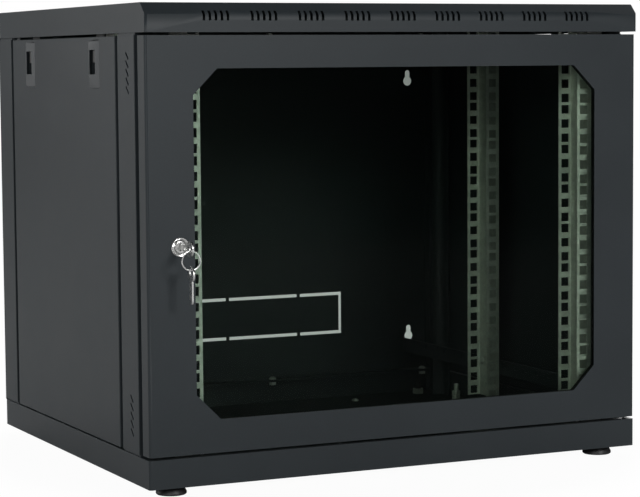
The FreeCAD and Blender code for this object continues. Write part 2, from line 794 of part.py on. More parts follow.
def glazing():
    pane = body("door_glass")
    pad(pane, "XZ_Plane", [octagon("glass_lap")], "skin_back", "glass_back")
    seal = body("glass_seal")
    pad(seal, "XZ_Plane", [octagon("glass_lap"), octagon("0")], "glass_back", "seal_back")
    middle = "(door_low+door_high)/2"
    edge = "glass_lap+clip_gap"
    lap = "(clip_gap+glass_lap-1)"
    clips, screws = [], []
    for side in SIDES.values():
        for up in (-1, 1):
            z = f"{middle}+{up}*clip_from_middle"
            tall = (f"{z}-clip_width/2", f"{z}+clip_width/2")
            start = f"window_half+{edge}"
            clips.append(join([
                block(flip(side, start, f"{start}+clip_foot"), ("skin_back", "skin_back+skin"),
                      tall),
                block(flip(side, start, f"{start}+skin"), ("skin_back", "seal_back+skin"), tall),
                block(flip(side, f"{start}-{lap}", f"{start}+skin"),
                      ("seal_back", "seal_back+skin"), tall)]))
            spot = (f"{side}*({start}+clip_foot/2+skin/2)", z)
            screws.append(rod("y", spot, ("skin_back+skin", "skin_back+2.5*skin"),
                              "bolt_radius+1"))
            wide = (f"{side}*clip_from_middle-clip_width/2",
                    f"{side}*clip_from_middle+clip_width/2")
            rim = "window_high" if up == 1 else "window_low"
            spans = [sorted([(a, f"{rim}+{up}*({a_text})"), (b, f"{rim}+{up}*({b_text})")])
                     for a, a_text, b, b_text in (
                         (up, edge, up * 4, f"{edge}+clip_foot"),
                         (up, edge, up * 2, f"{edge}+skin"),
                         (up, f"{edge}-{lap}", up * 2, f"{edge}+skin"))]
            foot, riser, lip = [[text for _, text in span] for span in spans]
            clips.append(join([
                block(wide, ("skin_back", "skin_back+skin"), foot),
                block(wide, ("skin_back", "seal_back+skin"), riser),
                block(wide, ("seal_back", "seal_back+skin"), lip)]))
            spot = (f"{side}*clip_from_middle", f"{rim}+{up}*({edge}+clip_foot/2+skin/2)")
            screws.append(rod("y", spot, ("skin_back+skin", "skin_back+2.5*skin"),
                              "bolt_radius+1"))
    keep(group(clips), "glass_clips")
    keep(group(screws), "clip_screws")


def hinges():
    pins, sleeves, screws = [], [], []
    spot = ("pin_x", "pin_y")
    reach = "(half-door_inset-skin-pin_x)"
    for name, z in HINGES.items():
        plate = block(("post_inner+1", "half-skin"), ("post_front-hinge_plate", "post_front"),
                      (f"{z}-hinge_plate_height/2", f"{z}+hinge_plate_height/2"))
        arm = block((f"pin_x-{reach}", f"pin_x+{reach}-hinge_play"),
                    ("pin_y", "post_front-hinge_plate"),
                    (f"{z}-arm_thick/2", f"{z}+arm_thick/2"))
        tip = rod("z", spot, (f"{z}-arm_thick/2", f"{z}+arm_thick/2"), f"{reach}-hinge_play")
        hole = rod("z", spot, (f"{z}-arm_thick/2", f"{z}+arm_thick/2"), "pin_radius")
        keep(cut(join([plate, arm, tip]), [hole]), f"hinge_bracket_{name}")
        low = f"{z}+arm_thick/2+hinge_play"
        high = f"{low}+sleeve_length"
        pins.append(rod("z", spot, (f"{z}-arm_thick/2", high), "pin_radius"))
        leaf = block(("pin_x", "return_inner"), ("pin_y-4", "pin_y+4"), (low, high))
        barrel = rod("z", spot, (low, high), reach)
        sleeves.append(cut(join([leaf, barrel]), [rod("z", spot, (low, high),
                                                      "pin_radius+pin_fit")]))
        for way in (-1, 1):
            place = ("post_inner+6", f"{z}+{way}*hinge_plate_height/3")
            screws.append(rod("y", place, ("post_front-hinge_plate-sheet",
                                           "post_front-hinge_plate"), "bolt_radius+1"))
    keep(group(pins), "hinge_pins")
    keep(group(sleeves), "hinge_sleeves")
    keep(group(screws), "hinge_screws")


# ---------------------------------------------------------------- lock and keys

def lock():
    spot = ("lock_x", "lock_z")
    barrel_back = "plug_back-2*sheet"
    housing = join([rod("y", spot, ("front-2", "front"), "lock_face"),
                    rod("y", spot, ("front", barrel_back), "lock_barrel")])
    bore = rod("y", spot, ("front-2", barrel_back), "lock_plug+pin_fit")
    keep(cut(housing, [bore]), "lock_housing")
    keep(nut("y", spot, ("skin_back", "skin_back+lock_nut_thick"), "lock_nut_flats",
             "lock_barrel"), "lock_nut")
    slot = block(("lock_x-key_thick/2", "lock_x+key_thick/2"), ("front-2.5", "front+14"),
                 ("lock_z-key_blade/2", "lock_z+key_blade/2"))
    thread = rod("y", spot, ("plug_back-10", "plug_back"), "bolt_radius")
    keep(cut(rod("y", spot, ("front-2.5", "plug_back"), "lock_plug"), [slot, thread]),
         "lock_plug")
    half_width = "cam_width/2"
    arm = block((f"lock_x-{half_width}", f"lock_x+{half_width}"), ("plug_back", "cam_back"),
                ("lock_z-cam_length", "lock_z"))
    boss = rod("y", spot, ("plug_back", "cam_back"), half_width)
    hole = rod("y", spot, ("plug_back", "cam_back"), "bolt_radius")
    keep(cut(join([arm, boss]), [hole]), "lock_cam")
    keep(screw("y", spot, ("cam_back", "cam_back+bolt_head_height"),
               ("plug_back-10", "cam_back")), "cam_screw")


def keys():
    thick = ("lock_x-key_thick/2", "lock_x+key_thick/2")
    blade = ("lock_z-key_blade/2", "lock_z+key_blade/2")
    bow = rod("x", ("key_y", "lock_z"), thick, "key_bow")
    shank = block(thick, ("key_y", "front+13"), blade)
    hole = rod("x", ("hole_y", "lock_z"), thick, "key_hole")
    keep(cut(join([bow, shank]), [hole]), "door_key")
    torus = doc.addObject("Part::Torus", "Ring")
    bind(torus, "Radius1", "ring_mean")
    bind(torus, "Radius2", "ring_wire")
    keep(stand(torus, "y", ("lock_x", "ring_z-ring_mean"), "hole_y"), "key_ring")
    spare_bow = "spare_hole-key_bow/4"
    bow = rod("x", ("hole_y", spare_bow), thick, "key_bow")
    shank = block(thick, ("hole_y-key_blade/2", "hole_y+key_blade/2"),
                  (f"{spare_bow}+key_bow-key_length", spare_bow))
    hole = rod("x", ("hole_y", "spare_hole"), thick, "key_hole")
    keep(cut(join([bow, shank]), [hole]), "spare_key")


# ---------------------------------------------------------------- side panels

def side_panel(name, side):
    """Lift-off side: a shallow pan with a dished finger recess at each latch."""
    panel = body(f"side_panel_{name}")
    outline = rect(("panel_front", "panel_rear"), ("panel_low", "panel_high"))
    inside = rect(("panel_front+skin", "panel_rear-skin"), ("panel_low+skin", "panel_high-skin"))
    pad(panel, "YZ_Plane", [outline], *flip(side, "panel_inner", "half"))
    hollow = ("panel_inner", "half-skin")
    if side == RIGHT:
        pocket(panel, "YZ_Plane", [inside], *hollow)
    else:
        pocket(panel, "YZ_Plane", [inside], *flip(side, *hollow))
    start = "panel_middle-latch_pitch/2"
    width = "dish_width/2"
    back = [("half-skin", f"{start}-{width}-skin"), ("dish_floor-skin", f"{start}-{width}-skin"),
            ("half-skin", f"{start}+{width}+skin/2")]
    face = [("half", f"{start}-{width}"), ("dish_floor", f"{start}-{width}+1"),
            ("half", f"{start}+{width}")]
    window = rect((f"{start}+3", f"{start}+3+latch_window_width"),
                  ("window_foot_z", "window_top"))
    swell = pad(panel, "XY_Plane", [[(f"{side}*({x})", y) for x, y in back]],
                "dish_low-skin", "dish_high+skin")
    repeat(panel, swell, "Y_Axis", "2", "latch_pitch")
    hollow = pocket(panel, "XY_Plane", [[(f"{side}*({x})", y) for x, y in face]],
                    "dish_low", "dish_high")
    repeat(panel, hollow, "Y_Axis", "2", "latch_pitch")
    gap = pocket(panel, "YZ_Plane", [window], *flip(side, "dish_floor-skin", "half"))
    repeat(panel, gap, "Y_Axis", "2", "latch_pitch")
    hook = rect((f"{start}-panel_hook_width/2", f"{start}+panel_hook_width/2"),
                ("panel_low-panel_hook", "panel_low+skin"))
    hooks = pad(panel, "YZ_Plane", [hook], *flip(side, "panel_inner", "panel_inner+skin"))
    repeat(panel, hooks, "Y_Axis", "2", "latch_pitch")


def latches(name, side):
    guides = []
    for end, way in (("front", -1), ("rear", 1)):
        middle = f"panel_middle+{way}*latch_pitch/2"
        plate_half = "dish_width/2"
        plate_x = flip(side, "plate_inner", "plate_outer")
        low = "dish_low-skin-2"
        slider = block(plate_x, (f"{middle}-{plate_half}", f"{middle}+{plate_half}"),
                       (low, "dish_high"))
        tongue = block(plate_x, (f"{middle}-12", f"{middle}+13"), ("dish_high", "tongue_top"))
        pad_span = (f"{middle}+3+latch_play", f"{middle}+3+latch_window_width-latch_play")
        finger = block(flip(side, "plate_outer", "dish_floor+2.5"), pad_span,
                       (f"window_foot_z+latch_travel+{'latch_play*2'}",
                        "window_top-latch_play"))
        keep(join([slider, tongue, finger]), f"latch_{end}_{name}")
        strips = []
        for way_out in (-1, 1):
            near = f"({plate_half}+skin+latch_play)"
            far = f"({near}+guide_width)"
            span = sorted([(way_out, f"{middle}+{way_out}*{near}"),
                           (way_out * 2, f"{middle}+{way_out}*{far}")])
            strips.append(block(flip(side, "plate_inner-latch_play-skin", "half-skin"),
                                [text for _, text in span], ("dish_low", "dish_high")))
        keeper = block(flip(side, "plate_inner-latch_play-skin", "plate_inner-latch_play"),
                       (f"{middle}-{near}", f"{middle}+{near}"),
                       ("dish_low+6", "dish_low+18"))
        guides.append(join([*strips, keeper]))
    keep(group(guides), f"latch_guides_{name}")


# ---------------------------------------------------------------- the whole cabinet

base_tray()
top_cover()
for name, side in SIDES.items():
    post(f"post_front_{name}", side, at_front=True)
    post(f"post_rear_{name}", side, at_front=False)
    depth_bracket(f"depth_bracket_lower_{name}", side, upper=False)
    depth_bracket(f"depth_bracket_upper_{name}", side, upper=True)
    rail(f"rail_front_{name}", side, at_front=True)
    rail(f"rail_rear_{name}", side, at_front=False)
    side_panel(name, side)
    latches(name, side)
cross_bar("sill_bar", "floor_top", "floor_top+bar_height", "floor_top+bar_height-sheet")
cross_bar("header_bar", "roof_low-bar_height", "roof_low", "roof_low-bar_height")
frame_fasteners()
back_panel()
back_panel_fasteners()
floor_fittings()
feet()
door_frame()
glazing()
hinges()
lock()
keys()
doc.recompute()

for item in doc.Objects:
    if {"Invalid", "Error"} & set(item.State):
        owners = [other.Label for other in item.InList]
        raise ValueError(f"{item.Label} of {owners} could not be made: {item.State}")
for item in parts:
    if item.Shape.isNull() or not item.Shape.isValid():
        raise ValueError(f"{item.Label} has no valid shape")
    item.Shape.exportStep(f"parts/{item.Label}.step")
    box = item.Shape.BoundBox
    print(f"{item.Label:28s} solids {len(item.Shape.Solids):2d} volume {item.Shape.Volume:11.1f}"
          f"  x {box.XMin:8.2f} {box.XMax:8.2f}  y {box.YMin:8.2f} {box.YMax:8.2f}"
          f"  z {box.ZMin:7.2f} {box.ZMax:7.2f}")
print(len(parts), "sub-parts")
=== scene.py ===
"""Dresses the wall mount network cabinet: rounded sheets, turned lock, keys, screws, feet, finishes."""
import json
from math import atan2, pi, radians, tau

import bmesh
import bpy
from bpy.props import FloatProperty, FloatVectorProperty, IntProperty, PointerProperty
from bpy.types import Operator, Panel, PropertyGroup
from mathutils import Matrix, Vector


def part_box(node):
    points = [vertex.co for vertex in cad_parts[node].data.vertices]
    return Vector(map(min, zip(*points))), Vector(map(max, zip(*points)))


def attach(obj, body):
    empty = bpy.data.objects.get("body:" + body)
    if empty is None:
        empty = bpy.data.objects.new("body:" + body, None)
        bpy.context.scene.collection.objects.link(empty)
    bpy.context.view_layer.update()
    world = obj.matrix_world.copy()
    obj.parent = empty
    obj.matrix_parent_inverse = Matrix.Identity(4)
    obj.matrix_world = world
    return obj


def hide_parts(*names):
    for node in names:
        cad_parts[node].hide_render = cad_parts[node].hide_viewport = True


bl_info = {
    "name": "Wall Mount Network Cabinet",
    "version": (1, 0, 0),
    "blender": (4, 5, 0),
    "location": "View3D > Sidebar > Cabinet",
    "description": "Models the fine detail and the finishes of a glazed network cabinet",
    "category": "Object",
}

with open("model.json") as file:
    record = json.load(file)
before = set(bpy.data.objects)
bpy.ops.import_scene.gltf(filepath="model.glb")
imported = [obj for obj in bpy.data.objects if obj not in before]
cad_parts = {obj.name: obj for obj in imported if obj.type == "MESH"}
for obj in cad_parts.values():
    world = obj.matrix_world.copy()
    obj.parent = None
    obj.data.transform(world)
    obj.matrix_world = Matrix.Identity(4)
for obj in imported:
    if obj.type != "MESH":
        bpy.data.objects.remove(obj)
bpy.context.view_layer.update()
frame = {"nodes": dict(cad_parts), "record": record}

MM = 0.001
TINY = 0.002 * MM
SMOOTH_BELOW = radians(35)
STEEP = radians(50)
SIDES = ("left", "right")
ENDS = ("front", "rear")
BEHAVIOUR = frame["record"]["behaviour"]
BODY_OF = {node: body for body, nodes in BEHAVIOUR["bodies"].items() for node in nodes}
SLOT_OF = {part["node"]: part["material_slot"] for part in frame["record"]["subparts"]}
AXES = {"x": Vector((1, 0, 0)), "y": Vector((0, 1, 0)), "z": Vector((0, 0, 1))}


# ---------------------------------------------------------------- sizes and colours a user may change

class CoatSettings(PropertyGroup):
    """Powder coat on the folded sheets."""

    colour: FloatVectorProperty(
        name="Coat Colour", description="Charcoal of the powder coat",
        default=(0.024, 0.030, 0.034), size=3, min=0.0, max=1.0, subtype="COLOR")
    pebble: FloatProperty(
        name="Pebble Size", description="Distance between the bumps of the fine texture",
        default=0.9 * MM, min=0.2 * MM, max=4 * MM, subtype="DISTANCE", unit="LENGTH")
    pebble_height: FloatProperty(
        name="Pebble Height", description="Height of the bumps",
        default=0.045 * MM, min=0.0, max=0.5 * MM, subtype="DISTANCE", unit="LENGTH")
    gloss_loss: FloatProperty(
        name="Roughness", description="Roughness of the coat between its bumps",
        default=0.46, min=0.0, max=1.0, subtype="FACTOR")
    fold_radius: FloatProperty(
        name="Fold Radius", description="Outer radius where a sheet is folded",
        default=1.1 * MM, min=0.2 * MM, max=3 * MM, subtype="DISTANCE", unit="LENGTH")
    rim_radius: FloatProperty(
        name="Rim Radius", description="Rounding of a cut edge under its coat",
        default=0.22 * MM, min=0.05 * MM, max=0.6 * MM, subtype="DISTANCE", unit="LENGTH")


class MetalSettings(PropertyGroup):
    """Bare metal finishes."""

    zinc: FloatVectorProperty(
        name="Zinc Colour", description="Colour of the zinc plate on rails and fixings",
        default=(0.80, 0.81, 0.76), size=3, min=0.0, max=1.0, subtype="COLOR")
    chrome: FloatVectorProperty(
        name="Chrome Colour", description="Colour of the polished lock and keys",
        default=(0.80, 0.80, 0.79), size=3, min=0.0, max=1.0, subtype="COLOR")


class GlassSettings(PropertyGroup):
    """Smoked safety glass in the door."""

    tint: FloatVectorProperty(
        name="Glass Tint", description="Colour that light keeps on its way through",
        default=(0.43, 0.485, 0.445), size=3, min=0.0, max=1.0, subtype="COLOR")


class SmallPartSettings(PropertyGroup):
    """Lock, keys, ring, feet and screws."""

    turned_steps: IntProperty(
        name="Turned Steps", description="Flats round each turned piece", default=48, min=12, max=96)
    foot_ribs: IntProperty(
        name="Foot Ribs", description="Grip ribs round each levelling foot", default=24, min=6, max=48)
    ring_turns: FloatProperty(
        name="Ring Turns", description="Turns of wire in the split ring", default=1.9, min=1.0, max=3.0)
    wire_steps: IntProperty(
        name="Wire Steps", description="Steps in each turn of the split ring", default=48, min=12, max=96)


class StageSettings(PropertyGroup):
    """Camera, lamps and floor."""

    camera_place: FloatVectorProperty(
        name="Camera Place", description="Where the camera stands",
        default=(-1.0853, -2.3069, 0.4401), size=3, subtype="TRANSLATION", unit="LENGTH")
    heading: FloatProperty(
        name="Heading", description="Turn of the view towards the right side",
        default=radians(25.34), subtype="ANGLE", unit="ROTATION")
    dip: FloatProperty(
        name="Dip", description="Angle of the view below the horizon",
        default=radians(4.76), subtype="ANGLE", unit="ROTATION")
    roll: FloatProperty(
        name="Roll", description="Turn of the camera about its own line of sight",
        default=radians(0.45), subtype="ANGLE", unit="ROTATION")
    lens: FloatProperty(
        name="Lens", description="Focal length for a 36 mm wide sensor",
        default=125.33, min=20.0, max=300.0, subtype="DISTANCE_CAMERA", unit="CAMERA")
    room: FloatProperty(
        name="Room Brightness", description="Light from the pale room all round",
        default=0.035, min=0.0, max=2.0)
    side_lamp: FloatProperty(
        name="Side Lamp", description="Power of the lamp that lights the left side",
        default=36.0, min=0.0, max=500.0, subtype="POWER", unit="POWER")
    front_lamp: FloatProperty(
        name="Front Lamp", description="Power of the lamp straight in front of the door",
        default=44.0, min=0.0, max=500.0, subtype="POWER", unit="POWER")
    left_lamp: FloatProperty(
        name="Left Lamp", description="Power of the lamp that opens the door and rails from the left",
        default=34.0, min=0.0, max=500.0, subtype="POWER", unit="POWER")
    right_lamp: FloatProperty(
        name="Right Lamp", description="Power of the lamp that lights the right side, the back and the roof",
        default=75.0, min=0.0, max=500.0, subtype="POWER", unit="POWER")


# ---------------------------------------------------------------- mesh helpers

def finish_piece(bm, name, node_names):
    """Turns a bmesh into an object at the origin that rides and is painted like the nodes it stands for."""
    bmesh.ops.dissolve_degenerate(bm, dist=TINY, edges=bm.edges)
    check_closed(bm, name)
    mesh = bpy.data.meshes.new(name)
    bm.to_mesh(mesh)
    bm.free()
    mesh.shade_smooth()
    mesh.set_sharp_from_angle(angle=SMOOTH_BELOW)
    piece = bpy.data.objects.new(name, mesh)
    bpy.context.scene.collection.objects.link(piece)
    mesh.materials.append(finish(SLOT_OF[node_names[0]]))
    even = piece.modifiers.new("even_faces", "WEIGHTED_NORMAL")
    even.keep_sharp = True
    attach(piece, BODY_OF[node_names[0]])
    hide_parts(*node_names)


def check_closed(bm, name):
    """Stops the script where a piece has an open seam."""
    loose = [edge for edge in bm.edges if not edge.is_manifold]
    if loose:
        raise RuntimeError(f"{name} has {len(loose)} open edges")


def merged_copy(node):
    """The node's mesh with its loose triangles joined and its flat faces made whole."""
    weld, flat = 0.001 * MM, radians(0.5)
    bm = bmesh.new()
    bm.from_mesh(frame["nodes"][node].data)
    bmesh.ops.remove_doubles(bm, verts=bm.verts, dist=weld)
    bmesh.ops.dissolve_limit(bm, angle_limit=flat, verts=bm.verts, edges=bm.edges,
                             use_dissolve_boundaries=False)
    return bm


def face_width(face):
    """Rough width of a long face, which tells a cut rim from a wall."""
    return 2 * face.calc_area() / max(face.calc_perimeter(), MM)


def corners(bm, shortest, wanted=lambda width: True):
    """Outward corners at least as long as shortest, whose narrower face passes the wanted test."""
    return [edge for edge in bm.edges
            if edge.is_manifold and edge.is_convex and edge.calc_length() > shortest
            and edge.calc_face_angle(0.0) > STEEP
            and wanted(min(face_width(face) for face in edge.link_faces))]


def round_corners(bm, edges, radius, segments):
    """Rounds the edges by the radius."""
    if edges:
        bmesh.ops.bevel(bm, geom=edges, offset=radius, offset_type="OFFSET", segments=segments,
                        profile=0.5, affect="EDGES", clamp_overlap=True, material=-1)


def lower_flange(bm):
    """Brings a side panel's bottom flange nearer the tray, so that only a thin shadow gap is left."""
    lowest, highest, drop = 2.5 * MM, 4.5 * MM, 1.5 * MM
    skirt_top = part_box("base_tray")[1].z
    for vert in bm.verts:
        if lowest < vert.co.z - skirt_top < highest:
            vert.co.z -= drop


def rounded_sheet(node, fold, rim, shortest, prepare):
    """A folded sheet, prepared first if need be, with its folds rounded and its cut rims softened."""
    widest_rim = 2.4 * MM
    bm = merged_copy(node)
    if prepare:
        prepare(bm)
    round_corners(bm, corners(bm, shortest, lambda width: width > widest_rim), fold, segments=3)
    round_corners(bm, corners(bm, shortest, lambda width: width <= widest_rim), rim, segments=1)
    return bm


def turned(centre, axis, outline, steps):
    """A solid spun about Y or Z from an outline of (radius, place along the axis) points."""
    bm = bmesh.new()
    way = AXES[axis]
    points = [bm.verts.new(AXES["x"] * radius + way * place) for radius, place in outline]
    pairs = list(zip(points, points[1:]))
    if outline[0][0] or outline[-1][0]:
        pairs.append((points[-1], points[0]))
    edges = [bm.edges.new(pair) for pair in pairs]
    bmesh.ops.spin(bm, geom=points + edges, cent=(0, 0, 0), axis=way, angle=tau, steps=steps,
                   use_merge=True)
    bmesh.ops.remove_doubles(bm, verts=bm.verts, dist=TINY)
    bmesh.ops.recalc_face_normals(bm, faces=bm.faces)
    bmesh.ops.translate(bm, verts=bm.verts, vec=centre)
    return bm


def absorb(into, other):
    """Adds a second bmesh to the first and frees it."""
    mesh = bpy.data.meshes.new("passing")
    other.to_mesh(mesh)
    other.free()
    into.from_mesh(mesh)
    bpy.data.meshes.remove(mesh)


def solid_box(points):
    """Lowest and highest corner of some points."""
    low = Vector(min(p[i] for p in points) for i in range(3))
    high = Vector(max(p[i] for p in points) for i in range(3))
    return low, high


def group_middle(points):
    """Middle of the box round some points, rounded so that it sorts the same each time."""
    low, high = solid_box(points)
    return tuple(round(v, 5) for v in (low + high) / 2)


def islands(node):
    """The merged vertices of each separate solid in a node, in order of place."""
    bm = merged_copy(node)
    left = set(bm.verts)
    groups = []
    while left:
        waiting = [left.pop()]
        found = []
        while waiting:
            vert = waiting.pop()
            found.append(vert.co.copy())
            for link in vert.link_edges:
                other = link.other_vert(vert)
                if other in left:
                    left.remove(other)
                    waiting.append(other)
        groups.append(found)
    bm.free()
    return sorted(groups, key=group_middle)


# ---------------------------------------------------------------- shader node groups

NOISE_RANGE = (0.35, 0.65)


def new_group(name, inputs, outputs):
    """A shader group with its sockets, and its input and output nodes."""
    group = bpy.data.node_groups.new(name, "ShaderNodeTree")
    for label, value in inputs.items():
        socket = group.interface.new_socket(label, in_out="INPUT", socket_type="NodeSocketFloat")
        socket.default_value = value
    for label in outputs:
        group.interface.new_socket(label, in_out="OUTPUT", socket_type="NodeSocketFloat")
    start = group.nodes.new("NodeGroupInput")
    end = group.nodes.new("NodeGroupOutput")
    return group, start, end


def texture(tree, kind, scale):
    """A texture node of one kind on Object coordinates."""
    where = tree.nodes.new("ShaderNodeTexCoord")
    node = tree.nodes.new(kind)
    tree.links.new(where.outputs["Object"], node.inputs["Vector"])
    link_or_set(tree, scale, node.inputs["Scale"])
    return node


def noise(tree, scale, detail, roughness=0.5):
    """A noise texture."""
    grain = texture(tree, "ShaderNodeTexNoise", scale)
    grain.inputs["Detail"].default_value = detail
    grain.inputs["Roughness"].default_value = roughness
    return grain


def link_or_set(tree, source, socket):
    """Joins a socket to the input, or sets it when the source is a plain value."""
    if isinstance(source, bpy.types.NodeSocket):
        tree.links.new(source, socket)
    else:
        socket.default_value = source


def maths(tree, operation, first, second=0.0, clamp=False):
    """A math node, returning its output."""
    node = tree.nodes.new("ShaderNodeMath")
    node.operation = operation
    node.use_clamp = clamp
    link_or_set(tree, first, node.inputs[0])
    link_or_set(tree, second, node.inputs[1])
    return node.outputs[0]


def remap(tree, value, low, high, to_low, to_high):
    """Stretches a value from one range to another."""
    node = tree.nodes.new("ShaderNodeMapRange")
    link_or_set(tree, value, node.inputs["Value"])
    for label, number in (("From Min", low), ("From Max", high), ("To Min", to_low), ("To Max", to_high)):
        link_or_set(tree, number, node.inputs[label])
    return node.outputs["Result"]


def pebble_group():
    """Fine pebbled grain of powder coat, with a few brighter specks."""
    group, start, end = new_group("powder_pebble", {"Scale": 1100.0}, ("Height", "Speck"))
    dome_share, lump_share = 0.6, 0.4
    speck_from, speck_full = 0.58, 0.72
    lumps = noise(group, start.outputs["Scale"], detail=2.0, roughness=0.55)
    cells = texture(group, "ShaderNodeTexVoronoi", start.outputs["Scale"])
    dome = maths(group, "SUBTRACT", 1.0, cells.outputs["Distance"])
    height = maths(group, "ADD", maths(group, "MULTIPLY", dome, dome_share),
                   maths(group, "MULTIPLY", lumps.outputs["Fac"], lump_share))
    group.links.new(height, end.inputs["Height"])
    speck = remap(group, lumps.outputs["Fac"], speck_from, speck_full, 0.0, 1.0)
    group.links.new(speck, end.inputs["Speck"])
    return group


def worn_lit_edge_group():
    """Where edges are rubbed and where a painted highlight runs along them, as a mask from how far the
    rounded normal turns.
    """
    group, start, end = new_group("rubbed_edges", {"Patch Scale": 55.0}, ("Mask",))
    no_edge_turn, full_edge_turn, least_edge_mark = 0.985, 0.86, 0.45
    rounded = group.nodes.new("ShaderNodeBevel")
    rounded.samples = 4
    rounded.inputs["Radius"].default_value = 1.2 * MM
    flat = group.nodes.new("ShaderNodeNewGeometry")
    dot = group.nodes.new("ShaderNodeVectorMath")
    dot.operation = "DOT_PRODUCT"
    group.links.new(rounded.outputs["Normal"], dot.inputs[0])
    group.links.new(flat.outputs["Normal"], dot.inputs[1])
    turn = remap(group, dot.outputs["Value"], no_edge_turn, full_edge_turn, 0.0, 1.0)
    patches = noise(group, start.outputs["Patch Scale"], detail=3.0)
    uneven = remap(group, patches.outputs["Fac"], *NOISE_RANGE, least_edge_mark, 1.0)
    # The mask marks edges both for wear and for a painted highlight along the rounded folds.
    group.links.new(maths(group, "MULTIPLY", turn, uneven, clamp=True), end.inputs["Mask"])
    return group


def dust_group():
    """Thin dust on faces that look up."""
    group, start, end = new_group("settled_dust", {"Patch Scale": 14.0}, ("Mask",))
    tilted, level = 0.75, 1.0
    shape = group.nodes.new("ShaderNodeNewGeometry")
    split = group.nodes.new("ShaderNodeSeparateXYZ")
    group.links.new(shape.outputs["Normal"], split.inputs["Vector"])
    upward = remap(group, split.outputs["Z"], tilted, level, 0.0, 1.0)
    patches = noise(group, start.outputs["Patch Scale"], detail=4.0, roughness=0.6)
    dusty = maths(group, "MULTIPLY", upward, patches.outputs["Fac"], clamp=True)
    group.links.new(dusty, end.inputs["Mask"])
    return group


def smudge_group():
    """Slow cloudy change, for coats, handled metal and glass."""
    defaults = {"Scale": 30.0, "Low": 0.0, "High": 1.0}
    group, start, end = new_group("handling_smudge", defaults, ("Value",))
    cloud = noise(group, start.outputs["Scale"], detail=5.0, roughness=0.62)
    value = remap(group, cloud.outputs["Fac"], *NOISE_RANGE, start.outputs["Low"], start.outputs["High"])
    group.links.new(value, end.inputs["Value"])
    return group


def flake_group():
    """Crystal patches of zinc plate."""
    group, start, end = new_group("zinc_flake", {"Scale": 260.0}, ("Value",))
    cells = texture(group, "ShaderNodeTexVoronoi", start.outputs["Scale"])
    split = group.nodes.new("ShaderNodeSeparateColor")
    group.links.new(cells.outputs["Color"], split.inputs["Color"])
    group.links.new(split.outputs["Red"], end.inputs["Value"])
    return group


GROUP_MAKERS = {
    "powder_pebble": pebble_group,
    "rubbed_edges": worn_lit_edge_group,
    "settled_dust": dust_group,
    "handling_smudge": smudge_group,
    "zinc_flake": flake_group,
}


def place_group(tree, name, **values):
    """Puts a shared group into a material with its own values, building it the first time."""
    node = tree.nodes.new("ShaderNodeGroup")
    node.node_tree = bpy.data.node_groups.get(name) or GROUP_MAKERS[name]()
    for label, value in values.items():
        node.inputs[label.replace("_", " ")].default_value = value
    return node


# ---------------------------------------------------------------- materials

def new_material(name, colour, roughness, metallic=0.0):
    """A material with one Principled shader and its plain values."""
    material = bpy.data.materials.new(name)
    material.use_nodes = True
    shader = material.node_tree.nodes["Principled BSDF"]
    shader.inputs["Base Color"].default_value = (*colour, 1.0)
    shader.inputs["Roughness"].default_value = roughness
    shader.inputs["Metallic"].default_value = metallic
    return material, material.node_tree, shader


def mix_colours(tree, low_colour, high_colour, share):
    """A colour that goes by share from the low one, given as a value or a socket, to the high one."""
    mix = tree.nodes.new("ShaderNodeMix")
    mix.data_type = "RGBA"
    link_or_set(tree, low_colour, mix.inputs["A"])
    mix.inputs["B"].default_value = (*high_colour, 1.0)
    tree.links.new(share, mix.inputs["Factor"])
    return mix.outputs["Result"]


def shade(tree, low_colour, high_colour, mask):
    """A colour that goes from low to high with the mask."""
    return mix_colours(tree, (*low_colour, 1.0), high_colour, mask)


def lay_over(tree, below, colour, mask, strength):
    """Lays a colour over another by mask times strength."""
    return mix_colours(tree, below, colour, maths(tree, "MULTIPLY", mask, strength))


def bump(tree, shader, height, distance, strength=1.0):
    """Feeds a height through a Bump node into the shader's normal."""
    node = tree.nodes.new("ShaderNodeBump")
    node.inputs["Distance"].default_value = distance
    node.inputs["Strength"].default_value = strength
    tree.links.new(height, node.inputs["Height"])
    tree.links.new(node.outputs["Normal"], shader.inputs["Normal"])


def scaled(colour, factor):
    """A colour made lighter or darker."""
    return tuple(channel * factor for channel in colour)


def powder_coat():
    """Charcoal fine-texture powder coat with rubbed edges lightened as wear and as painted highlight, and a
    little dust.
    """
    coat = bpy.context.scene.cabinet_coat
    base = tuple(coat.colour)
    darker, lighter = scaled(base, 0.93), scaled(base, 1.06)
    speck_colour, worn_glint_colour, dust_colour = scaled(base, 1.9), scaled(base, 2.1), (0.16, 0.155, 0.145)
    smoothest, roughest, rub_polish = coat.gloss_loss - 0.02, coat.gloss_loss + 0.03, 0.12
    material, tree, shader = new_material("charcoal_powder_coat", base, coat.gloss_loss)
    shader.inputs["Specular IOR Level"].default_value = 0.30
    grain = place_group(tree, "powder_pebble", Scale=1 / coat.pebble)
    cloud = place_group(tree, "handling_smudge", Scale=6.0, Low=0.0, High=1.0)
    wear_glint = place_group(tree, "rubbed_edges")
    dust = place_group(tree, "settled_dust")
    colour = shade(tree, darker, lighter, cloud.outputs["Value"])
    colour = lay_over(tree, colour, speck_colour, grain.outputs["Speck"], strength=0.22)
    # Lighter edges: partly wear, partly painted highlight along the folds.
    colour = lay_over(tree, colour, worn_glint_colour, wear_glint.outputs["Mask"], strength=0.40)
    colour = lay_over(tree, colour, dust_colour, dust.outputs["Mask"], strength=0.10)
    tree.links.new(colour, shader.inputs["Base Color"])
    rough = remap(tree, cloud.outputs["Value"], 0.0, 1.0, smoothest, roughest)
    polish = maths(tree, "MULTIPLY", wear_glint.outputs["Mask"], rub_polish)
    tree.links.new(maths(tree, "SUBTRACT", rough, polish), shader.inputs["Roughness"])
    bump(tree, shader, grain.outputs["Height"], coat.pebble_height)
    return material


